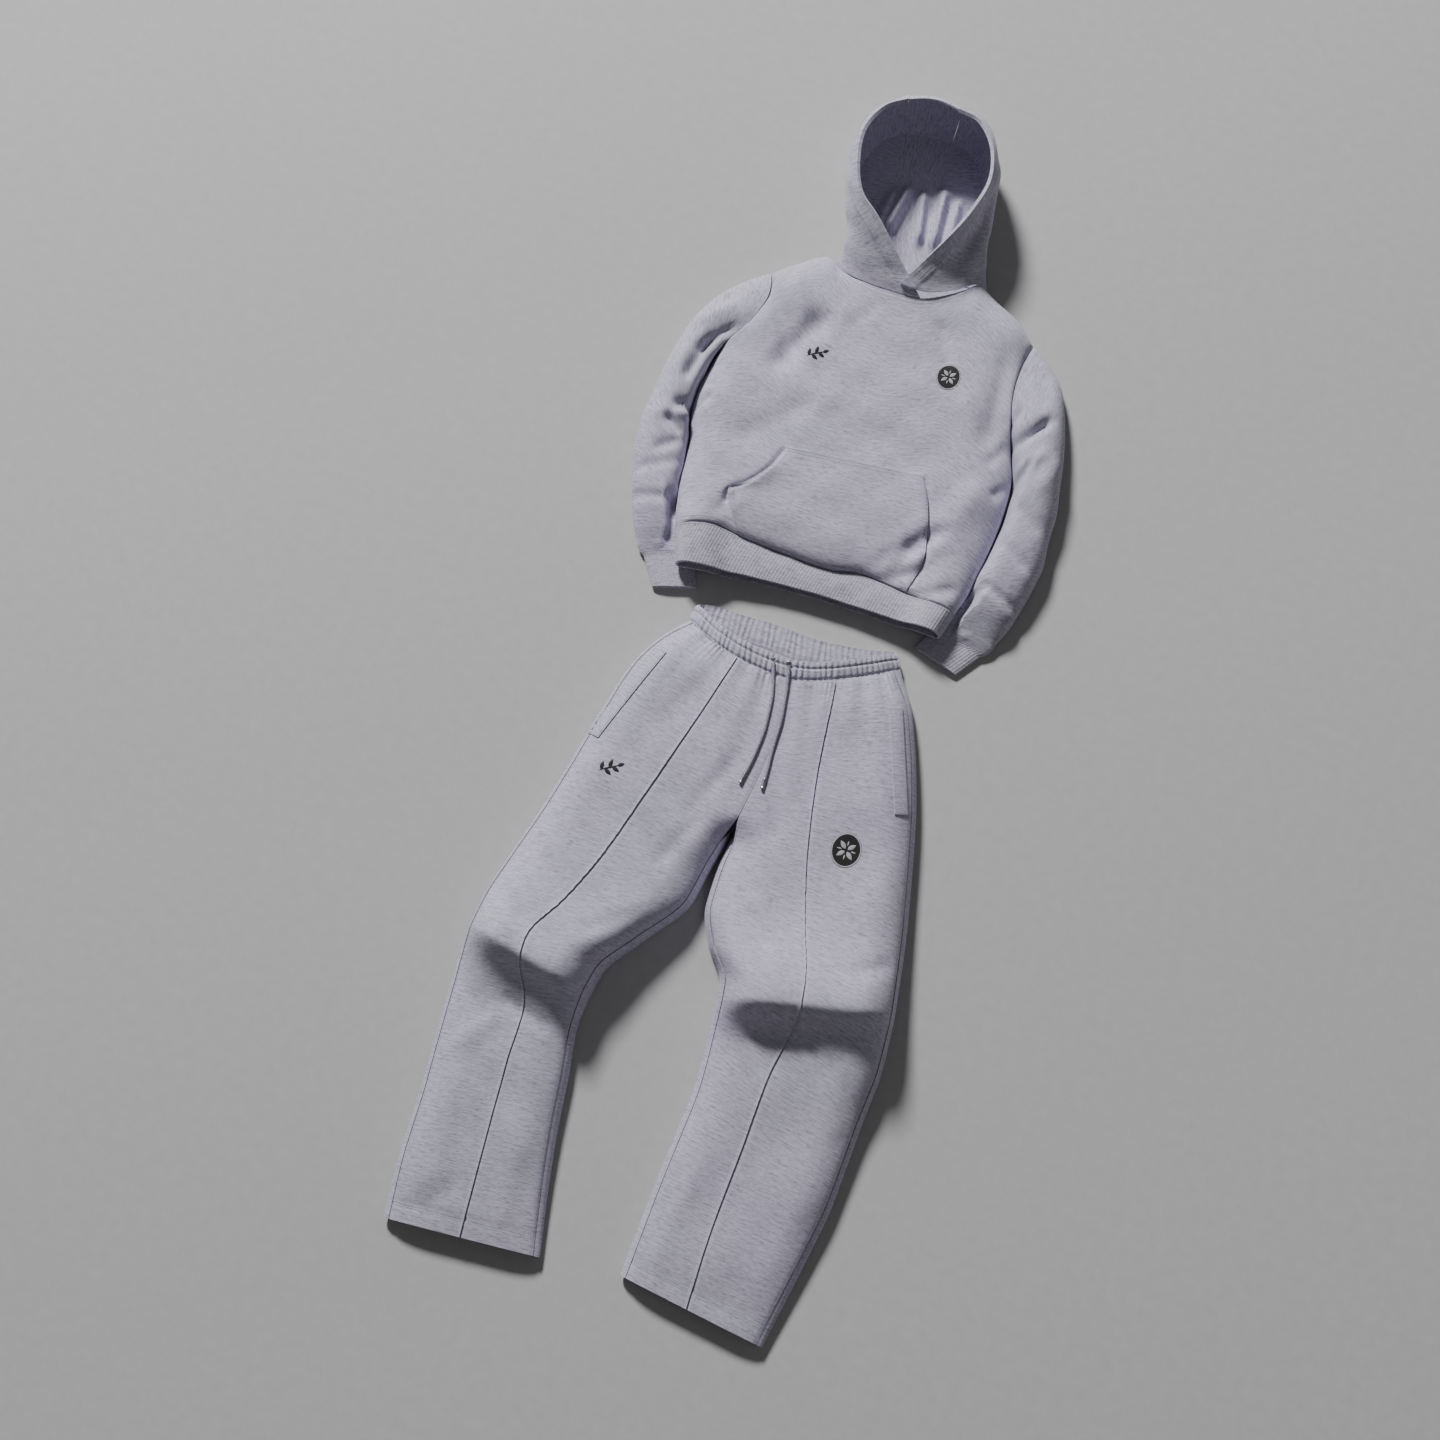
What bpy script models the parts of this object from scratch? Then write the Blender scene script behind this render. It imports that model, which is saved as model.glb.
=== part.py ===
"""A heavy fleece hooded tracksuit, laid flat on a floor: a pullover hoodie above its wide-leg trousers.

The set's own frame: +X across the set, +Y towards the hood, +Z up, the floor at z = 0.
Tables are in millimetres. Those of the hoodie are measured from the middle of its hem, those of
the trousers from the top of their waist, and both from the line that runs up the set's middle.
"""

import math

import bpy
import numpy as np
from mathutils.bvhtree import BVHTree

MM = 0.001
SEAM_GAP = 0.3

FLEECE = 2.5
RIB = 4.0
HOOD_CLOTH = 3.0

HOODIE_AT = np.array([7.2, 95.5, 0.0])
TROUSERS_AT = np.array([7.2, 50.5, 0.0])

CHEST_HEIGHT = 47.0
SIDE_SEAM_HEIGHT = 9.0
HEM_LIFT = 15.0
BODY_WIDTH = 470.0
BODY_LENGTH = 500.0
GATHERS = 78
GATHER_DEPTH = 2.2
PINTUCK_RISE = 2.0
CORD_DIAMETER = 5.0

# The hoodie's side edges, from the hem seam up past the underarm to the tip of the shoulder.
# Right and left are the wearer's, so right is on the side of -X.
BODY_RIGHT = {
    "x": (-230, -248, -256, -272, -270, -258, -228, -216, -226),
    "y": (48, 120, 190, 258, 306, 356, 416, 468, 514),
}
BODY_LEFT = {
    "x": (221, 233, 241, 247, 243, 223, 209, 202, 203, 211),
    "y": (48, 95, 150, 235, 292, 348, 392, 434, 480, 525),
}
UNDERARM_RIGHT_Y = 306
UNDERARM_LEFT_Y = 348

# The shoulders and the front of the neck, from the right shoulder's tip to the left one's.
NECKLINE = {
    "x": (-226, -190, -144, -119, -90, -64, -30, 0, 24, 47, 74, 99, 138, 176, 211),
    "y": (514, 545, 571, 550, 535, 529, 527, 527, 532, 545, 566, 594, 579, 559, 525),
}
BACK_NECKLINE = {
    "x": (-226, -190, -144, -100, -50, 0, 50, 99, 138, 176, 211),
    "y": (514, 545, 571, 583, 588, 590, 594, 598, 579, 559, 525),
}
HEM_SEAM = {"x": (-230, -165, -119, -50, 19, 67, 115, 164, 221), "y": (48, 68, 63, 59, 57, 66, 61, 54, 48)}
HEM_EDGE = {"x": (-209, -110, -2, 98, 211), "y": (-9, 6, 14, 14, 8)}

# How high the front stands at its edges, as a share of the chest's height.
SIDE_SHARE = {"v": (0, 0.3, 0.55, 0.62, 0.72, 0.85, 1), "share": (0.2, 0.2, 0.2, 0.45, 0.85, 0.75, 0.2)}
TOP_SHARE = {
    "u": (0, 0.1, 0.22, 0.27, 0.36, 0.5, 0.66, 0.74, 0.79, 0.9, 1),
    "share": (0.2, 0.2, 0.22, 0.6, 1, 1.1, 1, 0.6, 0.22, 0.2, 0.2),
}
HEM_SHARE = {"u": (0, 0.15, 0.4, 0.6, 0.85, 1), "share": (0.8, 0.72, 0.62, 0.62, 0.72, 0.8)}

# Folds across the hoodie's front: the ends of each, its rise (below zero for a trough) and its width.
FRONT_FOLDS = {
    "x0": (-120, -188, -210, 178, 196, 120, 150, 205, -95),
    "y0": (450, 505, 470, 470, 255, 120, 95, 80, 300),
    "x1": (-165, -120, -150, 190, 150, 165, 80, 150, -190),
    "y1": (350, 390, 390, 330, 130, 165, 45, 45, 210),
    "rise": (-6, 5, -6, -6, 5, -7, -8, -6, -4),
    "width": (24, 20, 16, 22, 24, 14, 13, 12, 26),
}

# Each sleeve's stations down the arm: the edge beside the body, the outer edge and the height.
SLEEVE_RIGHT = {
    "inner_x": (-270, -276, -279, -276, -270, -261, -252, -243, -236, -212, -190),
    "inner_y": (302, 286, 262, 230, 195, 160, 128, 96, 72, 48, 26),
    "outer_x": (-228, -268, -302, -330, -340, -342, -339, -330, -316, -294, -269),
    "outer_y": (517, 484, 438, 361, 294, 239, 185, 135, 88, 38, -2),
    "height": (38, 47, 54, 56, 55, 53, 50, 46, 40, 28, 14),
}
SLEEVE_LEFT = {
    "inner_x": (226, 234, 244, 250, 248, 244, 238, 232, 226, 212, 193),
    "inner_y": (346, 322, 296, 262, 215, 165, 125, 90, 66, 42, 22),
    "outer_x": (213, 246, 274, 298, 315, 326, 328, 323, 314, 301, 286),
    "outer_y": (528, 500, 466, 402, 325, 245, 175, 125, 85, 45, 10),
    "height": (38, 47, 54, 56, 55, 53, 50, 46, 40, 28, 14),
}
CUFF_RIGHT = {"inner": ((-190, 26), (-164, -27)), "outer": ((-269, -2), (-237, -49))}
CUFF_LEFT = {"inner": ((193, 22), (175, -11)), "outer": ((286, 10), (255, -35))}
ARM_END_HEIGHT = 14.0
CUFF_HEIGHT = 12.0
ARMHOLE_GAP = 1.0
UNDER_HEM_Y = 98.0
ARM_POINTS = 16
CUFF_GAP = 0.35
ARM_ROWS = 15
POCKET_GAP = 1.3

# The kangaroo pocket's outline on the front, clockwise from its top left corner.
POCKET = {
    "left_x": (-106, -122, -144, -168, -152, -134),
    "left_y": (222, 176, 146, 124, 84, 52),
    "right_x": (110, 128, 142, 150, 146, 140),
    "right_y": (244, 206, 160, 112, 82, 58),
}

# The hood's sections from the crown to the neck: its rim, upper wall, bulge, floor and strip seam.
HOOD_RIGHT = {
    "rim": ((-102, 830, 108), (-134, 804, 110), (-153, 756, 112), (-147, 700, 112), (-126, 648, 108),
            (-84, 612, 98), (2, 531, 53)),
    "upper": ((-104, 846, 92), (-142, 816, 92), (-163, 760, 93), (-158, 701, 92), (-143, 648, 88),
              (-112, 592, 76), (-74, 532, 50)),
    "bulge": ((-105, 852, 55), (-146, 822, 55), (-168, 762, 54), (-163, 702, 52), (-151, 650, 48),
              (-138, 604, 40), (-144, 571, 9)),
    "floor": ((-103, 845, 10), (-132, 810, 0), (-150, 758, 0), (-146, 702, 0), (-136, 652, 0),
              (-124, 616, 0), (-104, 584, 0)),
    "seam": ((-101, 838, 0), (-97, 806, 0), (-92, 762, 0), (-86, 716, 0), (-79, 672, 0),
             (-72, 632, 0), (-66, 590, 0)),
}
HOOD_LEFT = {
    "rim": ((-21, 838, 108), (18, 827, 110), (50, 786, 112), (63, 730, 112), (52, 674, 110),
            (28, 620, 97), (-26, 531, 61)),
    "upper": ((-19, 854, 92), (25, 840, 92), (60, 790, 93), (74, 730, 92), (68, 672, 88),
              (56, 610, 76), (30, 534, 52)),
    "bulge": ((-18, 860, 55), (29, 846, 55), (65, 792, 54), (82, 731, 54), (86, 676, 49),
              (90, 632, 40), (99, 594, 9)),
    "floor": ((-20, 853, 10), (16, 834, 0), (50, 782, 0), (64, 726, 0), (70, 676, 0),
              (72, 634, 0), (58, 596, 0)),
    "seam": ((-22, 846, 0), (-19, 812, 0), (-15, 768, 0), (-9, 720, 0), (-2, 674, 0),
             (5, 632, 0), (12, 593, 0)),
}
HOOD_ROWS = 15
HOOD_COLUMNS = 12
NECK_GAP = 1.4
CROWN_BULGE = 9.0
HOOD_LAP = 11.0

# The legs, a row for each section down from the waist: both edges and the height of the front.
LEG_RIGHT = {
    "outer_x": (-160, -176, -197, -222, -241, -260, -274, -293, -308, -312, -307, -301, -295, -291, -280),
    "outer_y": (-39, -56, -84, -135, -219, -321, -390, -469, -545, -612, -690, -765, -835, -917, -1010),
    "inner_x": (10, 15, 22, 25, 21, 5, -4, -14, -66, -104, -112, -100, -90, -75, -53),
    "inner_y": (-84, -110, -145, -185, -240, -352, -395, -452, -530, -592, -665, -742, -812, -892, -990),
    "height": (50, 52, 55, 56, 57, 57, 57, 58, 60, 58, 48, 45, 42, 36, 24),
}
LEG_LEFT = {
    "outer_x": (169, 182, 203, 227, 258, 288, 300, 310, 320, 324, 319, 316, 313, 302, 279),
    "outer_y": (-9, -30, -62, -120, -215, -342, -400, -462, -535, -600, -672, -740, -795, -870, -1003),
    "inner_x": (10, 15, 22, 25, 21, 7, 4, 6, 28, 62, 70, 75, 71, 66, 61),
    "inner_y": (-84, -110, -145, -185, -240, -354, -396, -446, -500, -548, -620, -700, -770, -850, -976),
    "height": (50, 52, 55, 56, 57, 57, 57, 58, 60, 60, 50, 45, 42, 36, 24),
}
LEG_ROWS = 24
SIDE_LAP = 9.0
LEG_ROLL = 62.0
WAIST_GAP = 1.3
TUCK_WIDTH = 3.0
TUCK_SIDE_COLUMNS = 6
CROTCH = {"starts": -312, "closed": -360}
WAIST_BLEND = 95.0

# The raised fold over each knee: its middle at both edges of the leg, the rise, and its widths
# on the side towards the hip and on the side towards the foot.
KNEE_RIGHT = {"outer": (-300, -588), "inner": (-108, -628), "rise": 40.0, "hip": 95.0, "foot": 27.0}
KNEE_LEFT = {"outer": (306, -518), "inner": (72, -572), "rise": 42.0, "hip": 95.0, "foot": 32.0}

# The sewn tuck down the middle of each leg.
TUCK_RIGHT = {
    "x": (-68, -94, -134, -168, -192, -217, -216, -195, -189, -179, -168),
    "y": (-80, -181, -336, -457, -520, -574, -612, -665, -752, -880, -1014),
}
TUCK_LEFT = {
    "x": (77, 84, 100, 124, 153, 173, 182, 170, 165, 160, 161),
    "y": (-60, -101, -224, -343, -441, -502, -567, -645, -763, -878, -996),
}

# The waistband's upper and lower edge, once round: up over the front from the wearer's right
# side to the left, then back along the floor.
WAIST_TOP = (
    (-157, -11, 12), (-150, -16, 24), (-120, -35, 42), (-83, -50, 53), (-50, -58, 57), (-16, -61, 58),
    (23, -59, 58), (60, -48, 57), (93, -32, 53), (122, -14, 42), (149, 5, 24), (157, 12, 12),
    (150, 15, 3), (120, 8, 0), (69, 0, 0), (23, -3, 0), (-35, 0, 0), (-91, -2, 0), (-130, -2, 0),
    (-151, -6, 3),
)
WAIST_BOTTOM = (
    (-160, -39, 12), (-153, -44, 24), (-122, -63, 41), (-85, -78, 50), (-50, -86, 53), (-18, -90, 54),
    (17, -90, 54), (58, -78, 53), (93, -62, 50), (128, -42, 41), (160, -18, 24), (169, -9, 12),
    (162, -8, 3), (128, -28, 0), (80, -38, 0), (23, -43, 0), (-35, -41, 0), (-91, -40, 0),
    (-132, -36, 0), (-153, -37, 3),
)
RIGHT_SEAM, LEFT_SEAM, LEFT_SIDE = 1, 10, 11
CENTRE_SEAM_X = 10.0
BAND_WALL = 2.5

# A welt on each hip: its upper and lower ends, and its width.
WELT_RIGHT = {"top": (-182, -106), "bottom": (-235, -263), "width": 22.0}
WELT_LEFT = {"top": (180, -79), "bottom": (237, -233), "width": 22.0}

WELT_WALL = 2.0
WELT_GAP = 1.0

# The drawcords' routes from their eyelets, over the front.
CORD_RIGHT = ((-14, -74), (-10, -88), (-4, -108), (1, -130), (4, -155), (6, -180), (5, -204), (3, -230), (0, -250))
CORD_LEFT = ((9, -73), (13, -88), (17, -106), (21, -130), (25, -158), (26, -184), (27, -208), (29, -232), (30, -248))
CORD_POINTS = 16
CORD_GAP = 0.6
AGLET_LENGTH = 16.0
AGLET_DIAMETER = 5.6
AGLET_SIDES = 12

COLOURS = {
    "fleece": ((0.48, 0.48, 0.50), 0.95, 0.0),
    "rib": ((0.46, 0.46, 0.48), 0.95, 0.0),
    "cord": ((0.45, 0.45, 0.47), 0.9, 0.0),
    "metal": ((0.55, 0.55, 0.56), 0.3, 1.0),
}


def smooth(places, values, at):
    """A monotone cubic through the values, read at the places asked for."""
    x = np.asarray(places, float)
    y = np.asarray(values, float)
    steps = np.diff(x)
    slopes = np.diff(y) / steps
    tangents = np.zeros(len(x))
    tangents[0], tangents[-1] = slopes[0], slopes[-1]
    turning = slopes[:-1] * slopes[1:] > 0
    before = 2 * steps[1:] + steps[:-1]
    after = steps[1:] + 2 * steps[:-1]
    with np.errstate(divide="ignore", invalid="ignore"):
        mean = (before + after) / (before / slopes[:-1] + after / slopes[1:])
    tangents[1:-1] = np.where(turning, mean, 0.0)
    at = np.clip(np.asarray(at, float), x[0], x[-1])
    k = np.clip(np.searchsorted(x, at, side="right") - 1, 0, len(x) - 2)
    h = steps[k]
    t = (at - x[k]) / h
    return (
        y[k] * (1 + 2 * t) * (1 - t) ** 2
        + tangents[k] * h * t * (1 - t) ** 2
        + y[k + 1] * t * t * (3 - 2 * t)
        - tangents[k + 1] * h * t * t * (1 - t)
    )


def through(points, at):
    """A smooth curve through points, read at shares of its length from 0 to 1."""
    points = np.asarray(points, float)
    run = np.concatenate([[0], np.cumsum(np.linalg.norm(np.diff(points, axis=0), axis=1))])
    tangents = np.gradient(points, run, axis=0)
    at = np.asarray(at, float) * run[-1]
    k = np.clip(np.searchsorted(run, at, side="right") - 1, 0, len(run) - 2)
    h = (run[k + 1] - run[k])[:, None]
    t = ((at - run[k])[:, None]) / h
    return (
        points[k] * (1 + 2 * t) * (1 - t) ** 2
        + tangents[k] * h * t * (1 - t) ** 2
        + points[k + 1] * t * t * (3 - 2 * t)
        - tangents[k + 1] * h * t * t * (1 - t)
    )


def line(table, at, names=("x", "y")):
    return through(np.column_stack([table[name] for name in names]), at)


def eased(count, ends=0.6):
    """Shares from 0 to 1, closer together towards both ends."""
    t = np.linspace(0, 1, count)
    return (1 - ends) * t + ends * (1 - np.cos(np.pi * t)) / 2


def roll(distance, reach):
    """How far a filled cloth has risen at a distance from its seam, from 0 to 1."""
    left = 1 - np.clip(distance / reach, 0, 1)
    return np.sqrt(np.clip(1 - left * left, 0, 1))


def softest(*shares):
    """The least of some shares of 1, with soft meeting lines."""
    total = sum(np.maximum(share, 0.01) ** -8.0 for share in shares) - (len(shares) - 1)
    return np.maximum(total, 1e-9) ** -0.125


def folds(x, y, table):
    """The sum of soft ridges and troughs, each along a straight line."""
    total = np.zeros_like(x)
    rows = zip(*(table[name] for name in ("x0", "y0", "x1", "y1", "rise", "width")))
    for x0, y0, x1, y1, rise, width in rows:
        run = np.hypot(x1 - x0, y1 - y0)
        ux, uy = (x1 - x0) / run, (y1 - y0) / run
        along = (x - x0) * ux + (y - y0) * uy
        beyond = along - np.clip(along, 0.15 * run, 0.85 * run)
        aside = (y - y0) * ux - (x - x0) * uy
        total += rise * np.exp(-((aside / width) ** 2) - (beyond / (0.6 * width + 0.15 * run)) ** 2)
    return total


def normals_of(grid, ring):
    if ring:
        across = np.roll(grid, -1, axis=1) - np.roll(grid, 1, axis=1)
    else:
        across = np.gradient(grid, axis=1)
    along = np.gradient(grid, axis=0)
    normal = np.cross(across, along)
    return normal / np.maximum(np.linalg.norm(normal, axis=2, keepdims=True), 1e-9)


def wall_faces(rows, columns, ring):
    """Quads of an outer grid, an inner one and the rims between them, facing out."""
    def outer(i, j):
        return i * columns + j % columns

    def inner(i, j):
        return rows * columns + outer(i, j)

    last = columns if ring else columns - 1
    faces = []
    for i in range(rows - 1):
        for j in range(last):
            faces.append((outer(i, j), outer(i, j + 1), outer(i + 1, j + 1), outer(i + 1, j)))
            faces.append((inner(i, j), inner(i + 1, j), inner(i + 1, j + 1), inner(i, j + 1)))
    for j in range(last):
        faces.append((outer(0, j + 1), outer(0, j), inner(0, j), inner(0, j + 1)))
        end = rows - 1
        faces.append((outer(end, j), outer(end, j + 1), inner(end, j + 1), inner(end, j)))
    if not ring:
        for i in range(rows - 1):
            end = columns - 1
            faces.append((outer(i, 0), outer(i + 1, 0), inner(i + 1, 0), inner(i, 0)))
            faces.append((outer(i + 1, end), outer(i, end), inner(i, end), inner(i + 1, end)))
    return faces


def material(name):
    made = bpy.data.materials.get(name)
    if made:
        return made
    colour, roughness, metallic = COLOURS[name]
    made = bpy.data.materials.new(name)
    made.use_nodes = True
    shader = made.node_tree.nodes["Principled BSDF"]
    shader.inputs["Base Color"].default_value = (*colour, 1)
    shader.inputs["Roughness"].default_value = roughness
    shader.inputs["Metallic"].default_value = metallic
    return made


def solid(name, points, faces, finish):
    mesh = bpy.data.meshes.new(name)
    mesh.from_pydata((np.asarray(points) * MM).tolist(), [], faces)
    mesh.update()
    made = bpy.data.objects.new(name, mesh)
    bpy.context.scene.collection.objects.link(made)
    made.data.materials.append(material(finish))
    mesh.shade_smooth()
    mesh.set_sharp_from_angle(angle=math.radians(50))
    return made


def unit(vectors):
    return vectors / np.maximum(np.linalg.norm(vectors, axis=-1, keepdims=True), 1e-9)


def beside(curve):
    """Level directions at right angles to a seam's run in plan."""
    run = np.gradient(curve, axis=0)
    return unit(np.column_stack([-run[:, 1], run[:, 0], np.zeros(len(run))]))


def moved_in(outer, thickness, ring, cuts):
    """The inner points of a wall. A cut gives a rim the direction that it faces."""
    inward = -normals_of(outer, ring)
    edges = {
        "first": (0, slice(None)),
        "last": (-1, slice(None)),
        "left": (slice(None), 0),
        "right": (slice(None), -1),
    }
    for edge, facing in cuts.items():
        place = edges[edge]
        facing = np.broadcast_to(np.asarray(facing, float), inward[place].shape)
        share = (inward[place] * facing).sum(axis=1, keepdims=True)
        inward[place] = unit(inward[place] - share * facing)
    return outer + inward * thickness


def wall(name, outer, thickness, at, finish="fleece", ring=False, inner=None, cuts=None):
    """A panel or tube of cloth between its outer points and the same points moved in."""
    if inner is None:
        inner = moved_in(outer, thickness, ring, cuts or {})
    rows, columns = outer.shape[:2]
    points = np.concatenate([outer.reshape(-1, 3), inner.reshape(-1, 3)]) + at
    return solid(name, points, wall_faces(rows, columns, ring), finish)


def hem_lift(x, y):
    """How far the body's two lower corners are held up by the cuffs under them."""
    left = np.exp(-((np.clip(x + 205, 0, None) / 45) ** 4) - (np.clip(y - 45, 0, None) / 45) ** 2)
    right = np.exp(-((np.clip(205 - x, 0, None) / 45) ** 4) - (np.clip(y - 40, 0, None) / 45) ** 2)
    return HEM_LIFT * np.maximum(left, right)


def body_plan(u, v, top):
    """The plan of a body panel between its four edges, u across and v from the hem up."""
    bottom = line(HEM_SEAM, u)
    upper = line(top, u)
    left = line(BODY_RIGHT, v)
    right = line(BODY_LEFT, v)
    uu, vv = u[None, :, None], v[:, None, None]
    across = left[:, None] * (1 - uu) + right[:, None] * uu
    along = bottom[None] * (1 - vv) + upper[None] * vv
    corners = (
        bottom[0] * (1 - uu) * (1 - vv)
        + bottom[-1] * uu * (1 - vv)
        + upper[0] * (1 - uu) * vv
        + upper[-1] * uu * vv
    )
    return across + along - corners


def front_height(plan, u, v):
    uu, vv = np.meshgrid(u, v)
    side = smooth(SIDE_SHARE["v"], SIDE_SHARE["share"], vv)
    top = smooth(TOP_SHARE["u"], TOP_SHARE["share"], uu)
    hem = smooth(HEM_SHARE["u"], HEM_SHARE["share"], uu)
    from_side = np.minimum(uu, 1 - uu) * BODY_WIDTH
    factor = softest(
        side + (1 - side) * roll(from_side, 55),
        top + (1 - top) * roll((1 - vv) * BODY_LENGTH, 60),
        hem + (1 - hem) * roll(vv * BODY_LENGTH, 75),
    )
    x, y = plan[..., 0], plan[..., 1]
    inside = roll(from_side, 60) * roll(vv * BODY_LENGTH, 60) * roll((1 - vv) * BODY_LENGTH, 40)
    filled = np.maximum(CHEST_HEIGHT * factor, SIDE_SEAM_HEIGHT)
    return filled + hem_lift(x, y) + folds(x, y, FRONT_FOLDS) * inside


def body_front_grid(u, v):
    plan = body_plan(u, v, NECKLINE)
    return np.dstack([plan, front_height(plan, u, v)])


def body_back_grid(u, v):
    """The back lies on the floor, and its sides curl up to meet the front's."""
    plan = body_plan(u, v, BACK_NECKLINE)
    uu, vv = np.meshgrid(u, v)
    from_side = np.minimum(uu, 1 - uu) * BODY_WIDTH
    curl = SIDE_SEAM_HEIGHT - SEAM_GAP
    below_arm = 1 - np.clip((vv - 0.56) / 0.04, 0, 1)
    on_shoulder = np.clip((0.26 - np.minimum(uu, 1 - uu)) / 0.08, 0, 1)
    side = (1 - roll(from_side, 9)) * below_arm
    shoulder = (1 - roll((1 - vv) * BODY_LENGTH, 9)) * on_shoulder
    lift = hem_lift(plan[..., 0], plan[..., 1])
    return np.dstack([plan, curl * np.maximum(side, shoulder) + lift])


def seam_facing(curve, level):
    """The way a panel's edge faces: upright where it meets a level seam, else sideways."""
    facing = beside(curve)
    facing[level] = (0, 0, 1)
    return facing


# Where the body is divided, across and upwards, alike in all the pieces that meet.
BODY_U = eased(19, 0.75)
BODY_V = eased(16, 0.5)


def torso():
    u, v = BODY_U, BODY_V
    shoulder = np.minimum(u, 1 - u) < 0.24
    front = body_front_grid(u, v)
    cuts = {
        "left": seam_facing(front[:, 0], v < 0.56),
        "right": seam_facing(front[:, -1], v < 0.62),
        "first": (0, 1, 0),
        "last": seam_facing(front[-1], shoulder),
    }
    made = wall("hoodie_front", front, FLEECE, HOODIE_AT, cuts=cuts)
    back = body_back_grid(u, v)[:, ::-1]
    cuts = {
        "left": seam_facing(back[:, 0], v < 0.62),
        "right": seam_facing(back[:, -1], v < 0.56),
        "first": (0, 1, 0),
        "last": seam_facing(back[-1], shoulder),
    }
    wall("hoodie_back", back, FLEECE, HOODIE_AT, cuts=cuts)
    return made


def hem_band():
    """A ring of rib that carries on from the lower edges of the front and the back."""
    u = BODY_U
    front = body_front_grid(u, np.array([0, 0.02]))[0]
    back = body_back_grid(u, np.array([0, 0.02]))[0]
    edge = line(HEM_EDGE, u)
    rows = []
    for share in (1.0, 0.5, 0.0):
        plan = (front[:, :2] + (0, -2 * SEAM_GAP)) * (1 - share) + edge * share
        narrowing = 3 * share * np.sqrt(np.sin(np.pi * u))
        front_row = np.column_stack([plan, front[:, 2] - narrowing])
        back_row = np.column_stack([plan, back[:, 2]])
        rows.append(np.concatenate([front_row, back_row[1:-1][::-1]]))
    cuts = {"first": (0, 1, 0), "last": (0, 1, 0)}
    wall("hem_band", np.array(rows), RIB, HOODIE_AT, "rib", ring=True, cuts=cuts)


def section(inner, outer, height, count):
    """A filled tube's section over the floor, from its inner edge over the top and back under."""
    angle = np.linspace(0, 2 * np.pi, count, endpoint=False)
    across = (1 - np.cos(angle)) / 2
    side = np.abs(1 - 2 * across)
    edge = min(SIDE_SEAM_HEIGHT, 0.45 * height)
    top = edge + (height - edge) * (1 - side**2.4) ** 0.5
    under = edge - edge * (1 - side**5) ** 0.5
    z = np.where(angle <= np.pi, top, under)
    plan = inner + (outer - inner) * across[:, None]
    return np.column_stack([plan, z]), across


def share_at(table, key, value):
    """The share of a side curve's length at which it reaches a place."""
    at = np.linspace(0, 1, 400)
    return float(np.interp(value, line(table, at)[:, 1 if key == "y" else 0], at))


def under_body(points, sign, edge_table):
    """Keeps what the body's corner lies on below it."""
    at = np.linspace(0, 0.6, 200)
    edge = line(edge_table, at)
    limit = np.interp(points[..., 1], edge[:, 1], edge[:, 0])
    outside = sign * (points[..., 0] - limit)
    ceiling = hem_lift(points[..., 0], points[..., 1]) - 1.0 + 3.0 * np.clip(outside - 8, 0, None)
    under = 1 / (1 + np.exp((points[..., 1] - UNDER_HEM_Y) / 5.0))
    spare = np.maximum(points[..., 2] - np.maximum(ceiling, 0.5), 0)
    points[..., 2] -= under * spare
    return points


def sleeve_grid(table, body_side, underarm_y, sign, stations, around):
    """The sleeve's rings, from the armhole down to the cuff."""
    rows = np.arange(len(table["height"]))
    at = np.linspace(0, len(rows) - 1, stations)
    columns = {key: smooth(rows, values, at) for key, values in table.items()}
    share = share_at(body_side, "y", underarm_y)
    grid = []
    for k in range(stations):
        inner = np.array([columns["inner_x"][k], columns["inner_y"][k]])
        outer = np.array([columns["outer_x"][k], columns["outer_y"][k]])
        ring, across = section(inner, outer, columns["height"][k], around)
        seam = line(body_side, share + (1 - share) * across)
        seam[:, 0] += sign * ARMHOLE_GAP
        chord = seam[0] + (seam[len(seam) // 2] - seam[0]) * across[:, None]
        follow = max(0.0, 1 - at[k] / 2.5)
        ring[:, :2] = seam if k == 0 else ring[:, :2] + (seam - chord) * follow
        grid.append(ring)
    return under_body(np.array(grid), sign, body_side)


def cuff_grid(ends, sleeve_end, towards, body_side, sign, around):
    """The cuff's rings, from the sleeve's end to the cuff's own edge."""
    grid = []
    inner_ends, outer_ends = np.array(ends["inner"], float), np.array(ends["outer"], float)
    for share in (0.0, 0.5, 1.0):
        inner = inner_ends[0] * (1 - share) + inner_ends[1] * share
        outer = outer_ends[0] * (1 - share) + outer_ends[1] * share
        height = ARM_END_HEIGHT * (1 - share) + CUFF_HEIGHT * share
        grid.append(section(inner, outer, height, around)[0])
    grid = under_body(np.array(grid), sign, body_side)
    grid[0] = sleeve_end + towards * CUFF_GAP
    return grid


def off_arm(inner, outer, turn):
    """The level direction, away from the shoulder, at right angles to a cut across the arm."""
    run = unit(np.subtract(outer, inner).astype(float)) * turn
    return np.array([-run[1], run[0], 0.0])


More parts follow.
